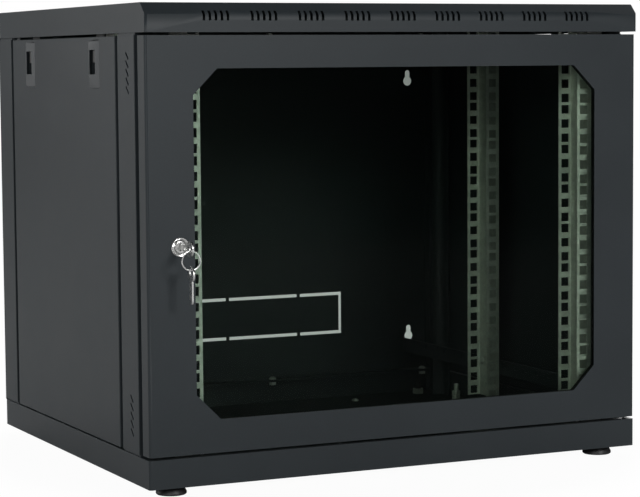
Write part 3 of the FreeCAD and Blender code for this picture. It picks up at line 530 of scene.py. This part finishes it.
def zinc_plate():
    """Bright zinc plate with faint crystal patches and dull clouds."""
    base = tuple(bpy.context.scene.cabinet_metal.zinc)
    darker, lighter = scaled(base, 0.86), scaled(base, 1.04)
    cloud_colour, worn_glint_colour = scaled(base, 0.72), scaled(base, 1.25)
    material, tree, shader = new_material("bright_zinc_plate", base, roughness=0.56, metallic=1.0)
    flake = place_group(tree, "zinc_flake", Scale=260.0)
    cloud = place_group(tree, "handling_smudge", Scale=24.0, Low=0.0, High=1.0)
    wear_glint = place_group(tree, "rubbed_edges", Patch_Scale=80.0)
    colour = shade(tree, darker, lighter, flake.outputs["Value"])
    colour = lay_over(tree, colour, cloud_colour, cloud.outputs["Value"], strength=0.30)
    # Lighter edges: partly wear, partly painted highlight along the rounded bends.
    colour = lay_over(tree, colour, worn_glint_colour, wear_glint.outputs["Mask"], strength=0.35)
    tree.links.new(colour, shader.inputs["Base Color"])
    dull = remap(tree, cloud.outputs["Value"], 0.0, 1.0, to_low=0.52, to_high=0.62)
    crystal = remap(tree, flake.outputs["Value"], 0.0, 1.0, to_low=-0.04, to_high=0.06)
    tree.links.new(maths(tree, "ADD", dull, crystal), shader.inputs["Roughness"])
    bump(tree, shader, flake.outputs["Value"], distance=0.01 * MM, strength=0.5)
    return material


def polished_chrome():
    """Chrome plate, with finger marks that dull it in patches."""
    base = tuple(bpy.context.scene.cabinet_metal.chrome)
    darker, lighter = scaled(base, 0.94), scaled(base, 1.12)
    material, tree, shader = new_material("polished_chrome", base, roughness=0.14, metallic=1.0)
    marks = place_group(tree, "handling_smudge", Scale=160.0, Low=0.16, High=0.34)
    wear_glint = place_group(tree, "rubbed_edges", Patch_Scale=300.0)
    # Lighter rims: painted highlight along the rounded edges, partly wear.
    tree.links.new(shade(tree, darker, lighter, wear_glint.outputs["Mask"]), shader.inputs["Base Color"])
    tree.links.new(marks.outputs["Value"], shader.inputs["Roughness"])
    fine = noise(tree, scale=1400.0, detail=3.0)
    bump(tree, shader, fine.outputs["Fac"], distance=0.006 * MM, strength=0.4)
    return material


def moulded_black():
    """Moulded black plastic with a spark-eroded grain."""
    base, worn_glint_colour, speck_colour = (0.018, 0.018, 0.019), (0.05, 0.05, 0.05), (0.035, 0.035, 0.036)
    material, tree, shader = new_material("moulded_black", base, roughness=0.5)
    grain = place_group(tree, "powder_pebble", Scale=2200.0)
    wear_glint = place_group(tree, "rubbed_edges")
    # Lighter edges: partly wear, partly painted highlight along the rounded edges.
    colour = shade(tree, base, worn_glint_colour, wear_glint.outputs["Mask"])
    colour = lay_over(tree, colour, speck_colour, grain.outputs["Speck"], strength=0.4)
    tree.links.new(colour, shader.inputs["Base Color"])
    marks = place_group(tree, "handling_smudge", Scale=70.0, Low=0.44, High=0.6)
    tree.links.new(marks.outputs["Value"], shader.inputs["Roughness"])
    bump(tree, shader, grain.outputs["Height"], distance=0.02 * MM)
    return material


def seal_rubber():
    """Dull black rubber with a slight bloom."""
    base, bloom_colour = (0.016, 0.016, 0.016), (0.03, 0.03, 0.029)
    material, tree, shader = new_material("seal_rubber", base, roughness=0.75)
    bloom = place_group(tree, "handling_smudge", Scale=45.0, Low=0.0, High=1.0)
    tree.links.new(shade(tree, base, bloom_colour, bloom.outputs["Value"]), shader.inputs["Base Color"])
    dull = remap(tree, bloom.outputs["Value"], 0.0, 1.0, to_low=0.68, to_high=0.85)
    tree.links.new(dull, shader.inputs["Roughness"])
    skin = noise(tree, scale=900.0, detail=4.0)
    bump(tree, shader, skin.outputs["Fac"], distance=0.02 * MM, strength=0.6)
    return material


def smoked_glass():
    """Smoked safety glass that lets lamp light through as a plain tint."""
    tint = tuple(bpy.context.scene.cabinet_glass.tint)
    material, tree, shader = new_material("smoked_glass", tint, roughness=0.0)
    shader.inputs["Transmission Weight"].default_value = 1.0
    shader.inputs["IOR"].default_value = 1.08
    film = place_group(tree, "handling_smudge", Scale=9.0, Low=0.0, High=0.05)
    tree.links.new(film.outputs["Value"], shader.inputs["Roughness"])
    clear = tree.nodes.new("ShaderNodeBsdfTransparent")
    clear.inputs["Color"].default_value = (*tint, 1.0)
    path = tree.nodes.new("ShaderNodeLightPath")
    mix = tree.nodes.new("ShaderNodeMixShader")
    output = tree.nodes["Material Output"]
    tree.links.new(path.outputs["Is Shadow Ray"], mix.inputs["Fac"])
    tree.links.new(shader.outputs["BSDF"], mix.inputs[1])
    tree.links.new(clear.outputs["BSDF"], mix.inputs[2])
    tree.links.new(mix.outputs["Shader"], output.inputs["Surface"])
    return material


FINISHES = {
    "charcoal": powder_coat,
    "zinc": zinc_plate,
    "chrome": polished_chrome,
    "black_plastic": moulded_black,
    "rubber": seal_rubber,
    "tinted_glass": smoked_glass,
}
MADE = {}


def finish(slot):
    """The material of a record slot, made the first time it is asked for."""
    if slot not in MADE:
        MADE[slot] = FINISHES[slot]()
    return MADE[slot]


def paint(node):
    """Gives a CAD node the material of its slot."""
    item = frame["nodes"][node]
    if not item.material_slots:
        item.data.materials.append(None)
    for slot in item.material_slots:
        slot.link = "OBJECT"
        slot.material = finish(SLOT_OF[node])


# ---------------------------------------------------------------- operators

class CabinetStep:
    """What every operator here shares."""

    bl_options = {"REGISTER", "UNDO"}


class CABINET_OT_paint_nodes(CabinetStep, Operator):
    """Gives every CAD piece the finish of its slot"""

    bl_idname = "cabinet.paint_nodes"
    bl_label = "Paint Pieces"

    def execute(self, context):
        for node in frame["nodes"]:
            paint(node)
        return {"FINISHED"}


def at_corners(kind):
    """Names of the four pieces of a kind, one near each upright edge of the cabinet."""
    return [f"{kind}_{end}_{side}" for end in ENDS for side in SIDES]


def dress_sheets(nodes, fold, rim, shortest=6 * MM, prepare=None):
    """Rounded copies of folded sheets, each in place of its CAD node."""
    for node in nodes:
        bm = rounded_sheet(node, fold, rim, shortest, prepare)
        finish_piece(bm, f"{node}_finished", [node])


class CABINET_OT_fold_body(CabinetStep, Operator):
    """Rounds the folds and rims of the tray, cover, posts, bars and back panel"""

    bl_idname = "cabinet.fold_body"
    bl_label = "Fold Body Sheets"

    def execute(self, context):
        coat = context.scene.cabinet_coat
        sheets = ["base_tray", "top_cover", "back_panel", *at_corners("post"), "sill_bar", "header_bar"]
        dress_sheets(sheets, coat.fold_radius, coat.rim_radius)
        return {"FINISHED"}


class CABINET_OT_fold_sides(CabinetStep, Operator):
    """Rounds the lift-off side panels, their latches and guides"""

    bl_idname = "cabinet.fold_sides"
    bl_label = "Fold Side Panels"

    def execute(self, context):
        coat = context.scene.cabinet_coat
        panels = [f"side_panel_{side}" for side in SIDES]
        guides = [f"latch_guides_{side}" for side in SIDES]
        dress_sheets(panels, coat.fold_radius, coat.rim_radius, prepare=lower_flange)
        dress_sheets([*at_corners("latch"), *guides], fold=0.5 * MM, rim=coat.rim_radius, shortest=2 * MM)
        return {"FINISHED"}


class CABINET_OT_hang_door(CabinetStep, Operator):
    """Rounds the door frame and eases the arrises of its glass"""

    bl_idname = "cabinet.hang_door"
    bl_label = "Hang Door"

    def execute(self, context):
        coat = context.scene.cabinet_coat
        dress_sheets(["door_frame"], coat.fold_radius, coat.rim_radius)
        arris = 0.4 * MM
        glass = merged_copy("door_glass")
        round_corners(glass, corners(glass, shortest=MM), arris, segments=1)
        finish_piece(glass, "door_glass_finished", ["door_glass"])
        return {"FINISHED"}


class CABINET_OT_form_metalwork(CabinetStep, Operator):
    """Rounds the rails, brackets, hinge brackets and cam"""

    bl_idname = "cabinet.form_metalwork"
    bl_label = "Form Rails and Brackets"

    def execute(self, context):
        brackets = [f"depth_bracket_{level}_{side}" for level in ("lower", "upper") for side in SIDES]
        plates = ["hinge_bracket_lower", "hinge_bracket_upper", "lock_cam"]
        dress_sheets([*at_corners("rail"), *brackets, *plates],
                     fold=0.8 * MM, rim=0.2 * MM, shortest=4 * MM)
        return {"FINISHED"}


def barrel_thread(radius, start, end, pitch, depth):
    """Outline points of a rolled thread along a barrel."""
    turns = int((end - start) / pitch)
    points = []
    for turn in range(turns):
        place = start + turn * pitch
        points += [(radius - depth, place), (radius, place + pitch / 2)]
    return points


class CABINET_OT_turn_lock(CabinetStep, Operator):
    """Turns the cam lock's housing with a dished bezel and a threaded barrel, and cuts its plug"""

    bl_idname = "cabinet.turn_lock"
    bl_label = "Turn Lock"

    def execute(self, context):
        steps = context.scene.cabinet_small.turned_steps
        low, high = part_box("lock_housing")
        centre = Vector(((low.x + high.x) / 2, low.y, (low.z + high.z) / 2))
        length = high.y - low.y
        face, barrel, bore = (high.x - low.x) / 2, 8 * MM, 6.05 * MM
        proud, end_chamfer = 2 * MM, 0.4 * MM
        thread_start, thread_end, pitch, depth = proud + 2 * MM, length - MM, MM, 0.3 * MM
        bezel = [(bore, 0.9 * MM), (bore + 0.5 * MM, 0.3 * MM), (bore + 1.1 * MM, 0.0),
                 (bore + 1.6 * MM, 0.35 * MM), (face - 1.7 * MM, 0.75 * MM), (face - 1.2 * MM, 0.1 * MM),
                 (face - 0.6 * MM, 0.0), (face - 0.15 * MM, 0.4 * MM), (face, 0.9 * MM), (face, proud)]
        thread = barrel_thread(barrel, thread_start, thread_end, pitch, depth)
        outline = [*bezel, (barrel, proud), *thread, (barrel - end_chamfer, length), (bore, length)]
        finish_piece(turned(centre, "y", outline, steps), "lock_housing_turned", ["lock_housing"])
        finish_piece(plug_mesh(centre.x, centre.z), "lock_plug_cut", ["lock_plug"])
        return {"FINISHED"}


def verts_in(geom):
    """The vertices among the geometry that an operator gives back."""
    return [item for item in geom if isinstance(item, bmesh.types.BMVert)]


def draw_back(bm, edges, depth):
    """Extrudes a loop of edges along -Z and fills its far end."""
    made = bmesh.ops.extrude_edge_only(bm, edges=edges)["geom"]
    far = verts_in(made)
    bmesh.ops.translate(bm, verts=far, vec=(0, 0, -depth))
    end_edges = [item for item in made if isinstance(item, bmesh.types.BMEdge)
                 and all(vert in far for vert in item.verts)]
    bmesh.ops.edgeloop_fill(bm, edges=end_edges)


def plug_mesh(x, z):
    """The lock's plug: a round face with a key slot, drawn back to its full length."""
    low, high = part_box("lock_plug")
    radius = (high.x - low.x) / 2
    sides, rim_round = 32, 0.4 * MM
    slot_width, slot_height, slot_depth = 2.5 * MM, 7.6 * MM, 16 * MM
    bm = bmesh.new()
    rim = bmesh.ops.create_circle(bm, cap_ends=False, radius=radius, segments=sides)["verts"]
    slot = bmesh.ops.create_circle(bm, cap_ends=False, radius=1.0, segments=sides)["verts"]
    for vert in slot:
        reach = max(abs(vert.co.x), abs(vert.co.y))
        vert.co = Vector((vert.co.x / reach * slot_width / 2, vert.co.y / reach * slot_height / 2, 0))
    bmesh.ops.bridge_loops(bm, edges=list(bm.edges))
    slot_edges = [edge for edge in bm.edges if all(vert in slot for vert in edge.verts)]
    draw_back(bm, slot_edges, slot_depth)
    rim_edges = [edge for edge in bm.edges if all(vert in rim for vert in edge.verts)]
    draw_back(bm, rim_edges, high.y - low.y)
    round_corners(bm, rim_edges, rim_round, segments=2)
    bmesh.ops.recalc_face_normals(bm, faces=bm.faces)
    bmesh.ops.rotate(bm, verts=bm.verts, cent=(0, 0, 0), matrix=Matrix.Rotation(pi / 2, 3, "X"))
    bmesh.ops.translate(bm, verts=bm.verts, vec=(x, low.y, z))
    return bm


KEY_THICK = 2 * MM
BOW_RADIUS = 8 * MM
BOW_HOLE = 3 * MM
BLADE_WIDTH = 7 * MM


def key_bow():
    """The round bow of a flat key at the origin, with its hole set back from the blade."""
    sides, set_back, edge_round = 40, BOW_RADIUS / 4, 0.3 * MM
    bm = bmesh.new()
    bmesh.ops.create_circle(bm, cap_ends=False, radius=BOW_RADIUS, segments=sides)
    hole = bmesh.ops.create_circle(bm, cap_ends=False, radius=BOW_HOLE, segments=sides)["verts"]
    bmesh.ops.translate(bm, verts=hole, vec=(-set_back, 0, 0))
    bmesh.ops.bridge_loops(bm, edges=list(bm.edges))
    geom = bmesh.ops.extrude_face_region(bm, geom=bm.faces[:])["geom"]
    bmesh.ops.translate(bm, verts=verts_in(geom), vec=(0, 0, KEY_THICK))
    bmesh.ops.recalc_face_normals(bm, faces=bm.faces)
    outer = [edge for edge in bm.edges if edge.is_manifold and edge.calc_face_angle(0.0) > STEEP]
    round_corners(bm, outer, edge_round, segments=2)
    bmesh.ops.translate(bm, verts=bm.verts, vec=(0, 0, -KEY_THICK / 2))
    return bm


def key_blade(length, teeth, cut_side):
    """The bitted blade of a flat key along +X, which starts inside the bow."""
    root = BOW_RADIUS * 0.92
    reach = length - BOW_RADIUS - root
    stations = teeth * 2
    step = reach / stations
    shoulder, tip_share, edge_round = 2, 0.55, 0.15 * MM
    least_cut, extra_cut, cut_depths = 0.12, 0.05, 5
    bm = bmesh.new()
    bmesh.ops.create_cube(bm, size=1.0)
    bmesh.ops.scale(bm, verts=bm.verts, vec=(reach, BLADE_WIDTH, KEY_THICK * 0.9))
    bmesh.ops.translate(bm, verts=bm.verts, vec=(root + reach / 2, 0, 0))
    along = [edge for edge in bm.edges
             if abs((edge.verts[0].co - edge.verts[1].co).normalized().x) > 0.9]
    bmesh.ops.subdivide_edges(bm, edges=along, cuts=stations - 1, use_grid_fill=True)
    for vert in bm.verts:
        count = round((vert.co.x - root) / step)
        if count == stations:
            vert.co.y *= tip_share
        elif vert.co.y * cut_side > 0 and count > shoulder and count % 2:
            vert.co.y -= cut_side * BLADE_WIDTH * (least_cut + extra_cut * (count % cut_depths))
    sharp = [edge for edge in bm.edges if edge.calc_face_angle(0.0) > radians(40)]
    round_corners(bm, sharp, edge_round, segments=1)
    bmesh.ops.recalc_face_normals(bm, faces=bm.faces)
    return bm


def key_mesh(length, teeth, cut_side):
    """A flat key along +X, with its bow's centre at the origin."""
    bm = key_bow()
    absorb(bm, key_blade(length, teeth, cut_side))
    return bm


class CABINET_OT_cut_keys(CabinetStep, Operator):
    """Cuts the key in the lock and the spare that hangs from the ring"""

    bl_idname = "cabinet.cut_keys"
    bl_label = "Cut Keys"

    def execute(self, context):
        low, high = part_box("door_key")
        middle = (low + high) / 2
        key = key_mesh(high.y - low.y, teeth=7, cut_side=-1)
        turn = Matrix.Rotation(pi / 2, 4, "Z") @ Matrix.Rotation(pi / 2, 4, "X")
        spot = Vector((middle.x, low.y + BOW_RADIUS, middle.z))
        bmesh.ops.transform(key, matrix=Matrix.Translation(spot) @ turn, verts=key.verts)
        finish_piece(key, "door_key_cut", ["door_key"])
        low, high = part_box("spare_key")
        middle = (low + high) / 2
        spare = key_mesh(high.z - low.z, teeth=5, cut_side=1)
        hang = Matrix.Rotation(pi / 2, 4, "Y")
        spot = Vector((middle.x, middle.y, high.z - BOW_RADIUS))
        bmesh.ops.transform(spare, matrix=Matrix.Translation(spot) @ hang, verts=spare.verts)
        finish_piece(spare, "spare_key_cut", ["spare_key"])
        return {"FINISHED"}


class CABINET_OT_wind_ring(CabinetStep, Operator):
    """Winds the split ring from flattened wire in nearly two turns"""

    bl_idname = "cabinet.wind_ring"
    bl_label = "Wind Split Ring"

    def execute(self, context):
        small = context.scene.cabinet_small
        low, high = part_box("key_ring")
        wire, flat, section_sides = 0.75 * MM, 0.36 * MM, 12
        width = wire * 0.97
        mean = (high.x - low.x) / 2 - wire
        steps = round(small.ring_turns * small.wire_steps)
        shift = (2 * wire - 2 * flat) / steps
        bm = bmesh.new()
        section = bmesh.ops.create_circle(bm, cap_ends=False, radius=1.0, segments=section_sides)["verts"]
        bmesh.ops.scale(bm, verts=section, vec=(width, flat, 1))
        bmesh.ops.translate(bm, verts=section, vec=(mean, -(wire - flat), 0))
        bmesh.ops.spin(bm, geom=[*section, *bm.edges[:]], cent=(0, 0, 0), axis=(0, 1, 0),
                       dvec=(0, shift, 0), angle=tau * small.ring_turns, steps=steps)
        bmesh.ops.holes_fill(bm, edges=[edge for edge in bm.edges if edge.is_boundary], sides=0)
        bmesh.ops.recalc_face_normals(bm, faces=bm.faces)
        bmesh.ops.translate(bm, verts=bm.verts, vec=(low + high) / 2)
        finish_piece(bm, "key_ring_wound", ["key_ring"])
        return {"FINISHED"}


def screw_axis(points):
    """Axis letter, head at the high end or not, radii of head and shank, head height and box of a screw."""
    on_axis, same_place = 0.1 * MM, 0.01 * MM
    low, high = solid_box(points)
    size = high - low
    middle = (low + high) / 2
    odd = [abs(size[(i + 1) % 3] - size[(i + 2) % 3]) for i in range(3)]
    index = odd.index(min(odd))
    others = [i for i in range(3) if i != index]

    def reach(point):
        return (Vector((point[others[0]], point[others[1]]))
                - Vector((middle[others[0]], middle[others[1]]))).length

    radius = max(reach(point) for point in points)
    near_rim = radius * 0.9
    head = [point[index] for point in points if reach(point) > near_rim]
    shank = [reach(point) for point in points if on_axis < reach(point) < near_rim]
    up = abs(max(head) - high[index]) < same_place
    return "xyz"[index], up, radius, max(shank, default=0.0), max(head) - min(head), low, high


def recessed_head(bm, radius, steps):
    """Presses a cross into the flat middle of a domed head that looks along +Z."""
    crown_drop, crown_reach, press = 0.12 * radius, 0.45 * radius, 0.35 * radius
    quarter, wing_faces = steps // 4, 2
    tip = max(vert.co.z for vert in bm.verts)
    crown = [face for face in bm.faces
             if min(vert.co.z for vert in face.verts) > tip - crown_drop
             and face.calc_center_median().xy.length < crown_reach]
    hub = [face for face in crown if len(face.verts) == 3]
    ring = sorted((face for face in crown if len(face.verts) == 4), key=face_angle)
    wings = [face for index, face in enumerate(ring) if index % quarter < wing_faces]
    cross = hub + wings
    pressed = bmesh.ops.extrude_face_region(bm, geom=cross)["geom"]
    verts = verts_in(pressed)
    bmesh.ops.delete(bm, geom=[face for face in cross if face.is_valid], context="FACES")
    bmesh.ops.translate(bm, verts=verts, vec=(0, 0, -press))


def face_angle(face):
    """Angle of a face's middle round the Z axis."""
    middle = face.calc_center_median()
    return atan2(middle.y, middle.x)


# Pan head from its middle to its rim: share of the radius, and share of the height below the top
DOME = ((0.0, 0.0), (0.10, 0.0), (0.44, 0.03), (0.70, 0.18), (0.93, 0.5), (1.0, 0.82), (1.0, 1.0))


def screw_mesh(points, steps):
    """A pan head screw with a cross recess in place of one plain screw solid."""
    axis, up, radius, shank, head, low, high = screw_axis(points)
    index = "xyz".index(axis)
    way = AXES[axis] * (1 if up else -1)
    length = high[index] - low[index]
    grip = max(shank, radius * 0.3)
    has_shank = length > head + 0.05 * MM
    dome = [(radius * across, length - head * down) for across, down in DOME]
    body = [(grip, length - head), (grip, 0.0), (0.0, 0.0)] if has_shank else [(0.0, 0.0)]
    bm = turned(Vector(), "z", dome + body, steps)
    recessed_head(bm, radius, steps)
    bmesh.ops.recalc_face_normals(bm, faces=bm.faces)
    start = (low + high) / 2
    start[index] = low[index] if up else high[index]
    turn = AXES["z"].rotation_difference(way).to_matrix().to_4x4()
    bmesh.ops.transform(bm, matrix=Matrix.Translation(start) @ turn, verts=bm.verts)
    return bm


class CABINET_OT_fit_screws(CabinetStep, Operator):
    """Fits pan head screws with cross recesses all round the cabinet"""

    bl_idname = "cabinet.fit_screws"
    bl_label = "Fit Screws"

    def execute(self, context):
        steps = 24
        for node in ("rail_screws", "bracket_screws", "back_panel_screws", "entry_screws",
                     "hinge_screws", "clip_screws", "cam_screw"):
            whole = bmesh.new()
            for points in islands(node):
                absorb(whole, screw_mesh(points, steps))
            finish_piece(whole, f"{node}_pan_head", [node])
        return {"FINISHED"}


class CABINET_OT_ease_nuts(CabinetStep, Operator):
    """Eases the corners of nuts, pins, sleeves and clips"""

    bl_idname = "cabinet.ease_nuts"
    bl_label = "Ease Nuts and Clips"

    def execute(self, context):
        shortest, easing = 0.5 * MM, 0.3 * MM
        for node in ("rail_nuts", "back_panel_nuts", "earth_nuts", "foot_nuts", "lock_nut",
                     "glass_clips", "hinge_pins", "hinge_sleeves", "earth_stud", "cable_entry_plate"):
            bm = merged_copy(node)
            round_corners(bm, corners(bm, shortest), easing, segments=2)
            finish_piece(bm, f"{node}_eased", [node])
        return {"FINISHED"}


class CABINET_OT_turn_feet(CabinetStep, Operator):
    """Turns the four levelling feet with ribbed flanks and a threaded stem"""

    bl_idname = "cabinet.turn_feet"
    bl_label = "Turn Feet"

    def execute(self, context):
        flats = context.scene.cabinet_small.foot_ribs * 2
        neck, stem, rise, margin = 12 * MM, 3.9 * MM, 9.7 * MM, MM / 2
        pitch, depth, groove = 1.25 * MM, 0.35 * MM, 0.965
        for node in at_corners("foot"):
            low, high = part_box(node)
            radius = (high.x - low.x) / 2
            thread = barrel_thread(stem, rise + MM, high.z - MM, pitch, depth)
            outline = [(0.0, 0.0), (radius - 1.2 * MM, 0.0), (radius, MM), (radius, 3 * MM),
                       (neck + 1.5 * MM, 7.4 * MM), (neck, rise - MM), (neck - MM, rise),
                       (stem - depth, rise), *thread, (stem - 0.7 * MM, high.z), (0.0, high.z)]
            bm = turned(Vector(), "z", outline, flats)
            flank = [vert for vert in bm.verts if margin < vert.co.z < rise - margin
                     and vert.co.xy.length > neck - margin]
            for vert in flank:
                angle = vert.co.xy.angle_signed(Vector((1, 0))) % tau
                if round(angle / (tau / flats)) % 2 == 0:
                    vert.co.xy *= groove
            centre = Vector(((low.x + high.x) / 2, (low.y + high.y) / 2, low.z))
            bmesh.ops.translate(bm, verts=bm.verts, vec=centre)
            finish_piece(bm, f"{node}_ribbed", [node])
        return {"FINISHED"}


# ---------------------------------------------------------------- stage

AIM = Vector((0, 0, 0.26))
# Where each lamp stands, and its width and height
LAMPS = {
    "side_lamp": ((-2.4, 1.9, 1.1), (1.5, 1.5)),
    "front_lamp": ((0.55, -3.2, 1.35), (0.9, 0.8)),
    "left_lamp": ((-2.5, -2.7, 1.2), (0.8, 0.8)),
    "right_lamp": ((2.5, 1.9, 1.9), (2.0, 2.0)),
}


def softbox(name, place, size, power):
    """A rectangular area lamp that looks at the cabinet's middle."""
    lamp = bpy.data.lights.new(name, "AREA")
    lamp.shape = "RECTANGLE"
    lamp.size, lamp.size_y = size
    lamp.energy = power
    item = bpy.data.objects.new(name, lamp)
    item.location = place
    item.rotation_euler = (AIM - Vector(place)).to_track_quat("-Z", "Y").to_euler()
    bpy.context.scene.collection.objects.link(item)


def white_where_seen(tree, lit, output, share, kind):
    """Makes a floor or room white to the eye by share, and paler through the smoked glass."""
    through_glass = 0.45
    path = tree.nodes.new("ShaderNodeLightPath")
    through = maths(tree, "MULTIPLY", path.outputs["Is Transmission Ray"], through_glass)
    seen = maths(tree, "MAXIMUM", path.outputs["Is Camera Ray"], through)
    white = tree.nodes.new(kind)
    white.inputs["Color"].default_value = (1, 1, 1, 1)
    white.inputs["Strength"].default_value = 1.0
    mix = tree.nodes.new("ShaderNodeMixShader")
    tree.links.new(maths(tree, "MULTIPLY", seen, share), mix.inputs["Fac"])
    tree.links.new(lit, mix.inputs[1])
    tree.links.new(white.outputs[0], mix.inputs[2])
    tree.links.new(mix.outputs["Shader"], output)


class CABINET_OT_set_stage(CabinetStep, Operator):
    """Sets the floor, room, lamps and camera"""

    bl_idname = "cabinet.set_stage"
    bl_label = "Set Stage"

    def execute(self, context):
        scene = context.scene
        stage = scene.cabinet_stage
        scene.view_settings.view_transform = "Standard"
        self.lay_floor()
        self.light_room(stage)
        for name, (place, size) in LAMPS.items():
            softbox(name, place, size, getattr(stage, name))
        camera = bpy.data.cameras.new("main_camera")
        camera.sensor_width = 36.0
        camera.lens = stage.lens
        camera.clip_start, camera.clip_end = 0.05, 50.0
        item = bpy.data.objects.new("main_camera", camera)
        turn = (Matrix.Rotation(-stage.heading, 4, "Z") @ Matrix.Rotation(pi / 2 - stage.dip, 4, "X")
                @ Matrix.Rotation(-stage.roll, 4, "Z"))
        item.matrix_world = Matrix.Translation(Vector(stage.camera_place)) @ turn
        scene.collection.objects.link(item)
        scene.camera = item
        return {"FINISHED"}

    def lay_floor(self):
        """A wide pale floor that shows as white and keeps the cabinet's shadow."""
        half_width, grey = 6.0, (0.78, 0.78, 0.78)
        shadow_reach, shadow_end = 0.36, 0.45
        white_near, white_far = 0.965, 0.9999
        bm = bmesh.new()
        bmesh.ops.create_grid(bm, x_segments=1, y_segments=1, size=half_width)
        mesh = bpy.data.meshes.new("pale_floor")
        bm.to_mesh(mesh)
        bm.free()
        floor = bpy.data.objects.new("pale_floor", mesh)
        bpy.context.scene.collection.objects.link(floor)
        material, tree, shader = new_material("pale_floor", grey, roughness=0.9)
        where = tree.nodes.new("ShaderNodeTexCoord")
        reach = tree.nodes.new("ShaderNodeVectorMath")
        reach.operation = "LENGTH"
        tree.links.new(where.outputs["Object"], reach.inputs[0])
        share = remap(tree, reach.outputs["Value"], shadow_reach, shadow_end, white_near, white_far)
        surface = tree.nodes["Material Output"].inputs["Surface"]
        white_where_seen(tree, shader.outputs["BSDF"], surface, share, "ShaderNodeEmission")
        mesh.materials.append(material)

    def light_room(self, stage):
        """An even pale room, white where it is seen."""
        world = bpy.data.worlds.new("pale_room")
        world.use_nodes = True
        bpy.context.scene.world = world
        tree = world.node_tree
        room = tree.nodes["Background"]
        room.inputs["Color"].default_value = (0.95, 0.98, 1.0, 1.0)
        room.inputs["Strength"].default_value = stage.room
        surface = tree.nodes["World Output"].inputs["Surface"]
        white_where_seen(tree, room.outputs["Background"], surface, 1.0, "ShaderNodeBackground")


class CABINET_PT_steps(Panel):
    """Lists the steps that dress the cabinet."""

    bl_idname = "CABINET_PT_steps"
    bl_label = "Network Cabinet"
    bl_space_type = "VIEW_3D"
    bl_region_type = "UI"
    bl_category = "Cabinet"

    def draw(self, context):
        for step in STEPS:
            self.layout.operator(step.bl_idname)
        for name in SETTINGS:
            box = self.layout.box()
            group = getattr(context.scene, name)
            for item in group.bl_rna.properties:
                if item.identifier not in {"rna_type", "name"}:
                    box.prop(group, item.identifier)


STEPS = (
    CABINET_OT_paint_nodes,
    CABINET_OT_fold_body,
    CABINET_OT_fold_sides,
    CABINET_OT_hang_door,
    CABINET_OT_form_metalwork,
    CABINET_OT_turn_lock,
    CABINET_OT_cut_keys,
    CABINET_OT_wind_ring,
    CABINET_OT_fit_screws,
    CABINET_OT_ease_nuts,
    CABINET_OT_turn_feet,
    CABINET_OT_set_stage,
)
SETTINGS = {
    "cabinet_coat": CoatSettings,
    "cabinet_metal": MetalSettings,
    "cabinet_glass": GlassSettings,
    "cabinet_small": SmallPartSettings,
    "cabinet_stage": StageSettings,
}
CLASSES = (*SETTINGS.values(), *STEPS, CABINET_PT_steps)


def register():
    """Adds the classes and the settings."""
    for item in CLASSES:
        bpy.utils.register_class(item)
    for name, group in SETTINGS.items():
        setattr(bpy.types.Scene, name, PointerProperty(type=group))


def unregister():
    """Takes the settings and the classes away again."""
    for name in SETTINGS:
        delattr(bpy.types.Scene, name)
    for item in reversed(CLASSES):
        bpy.utils.unregister_class(item)


def main():
    """Dresses the cabinet."""
    register()
    for step in STEPS:
        area, name = step.bl_idname.split(".")
        getattr(getattr(bpy.ops, area), name)()


if __name__ == "__main__":
    main()
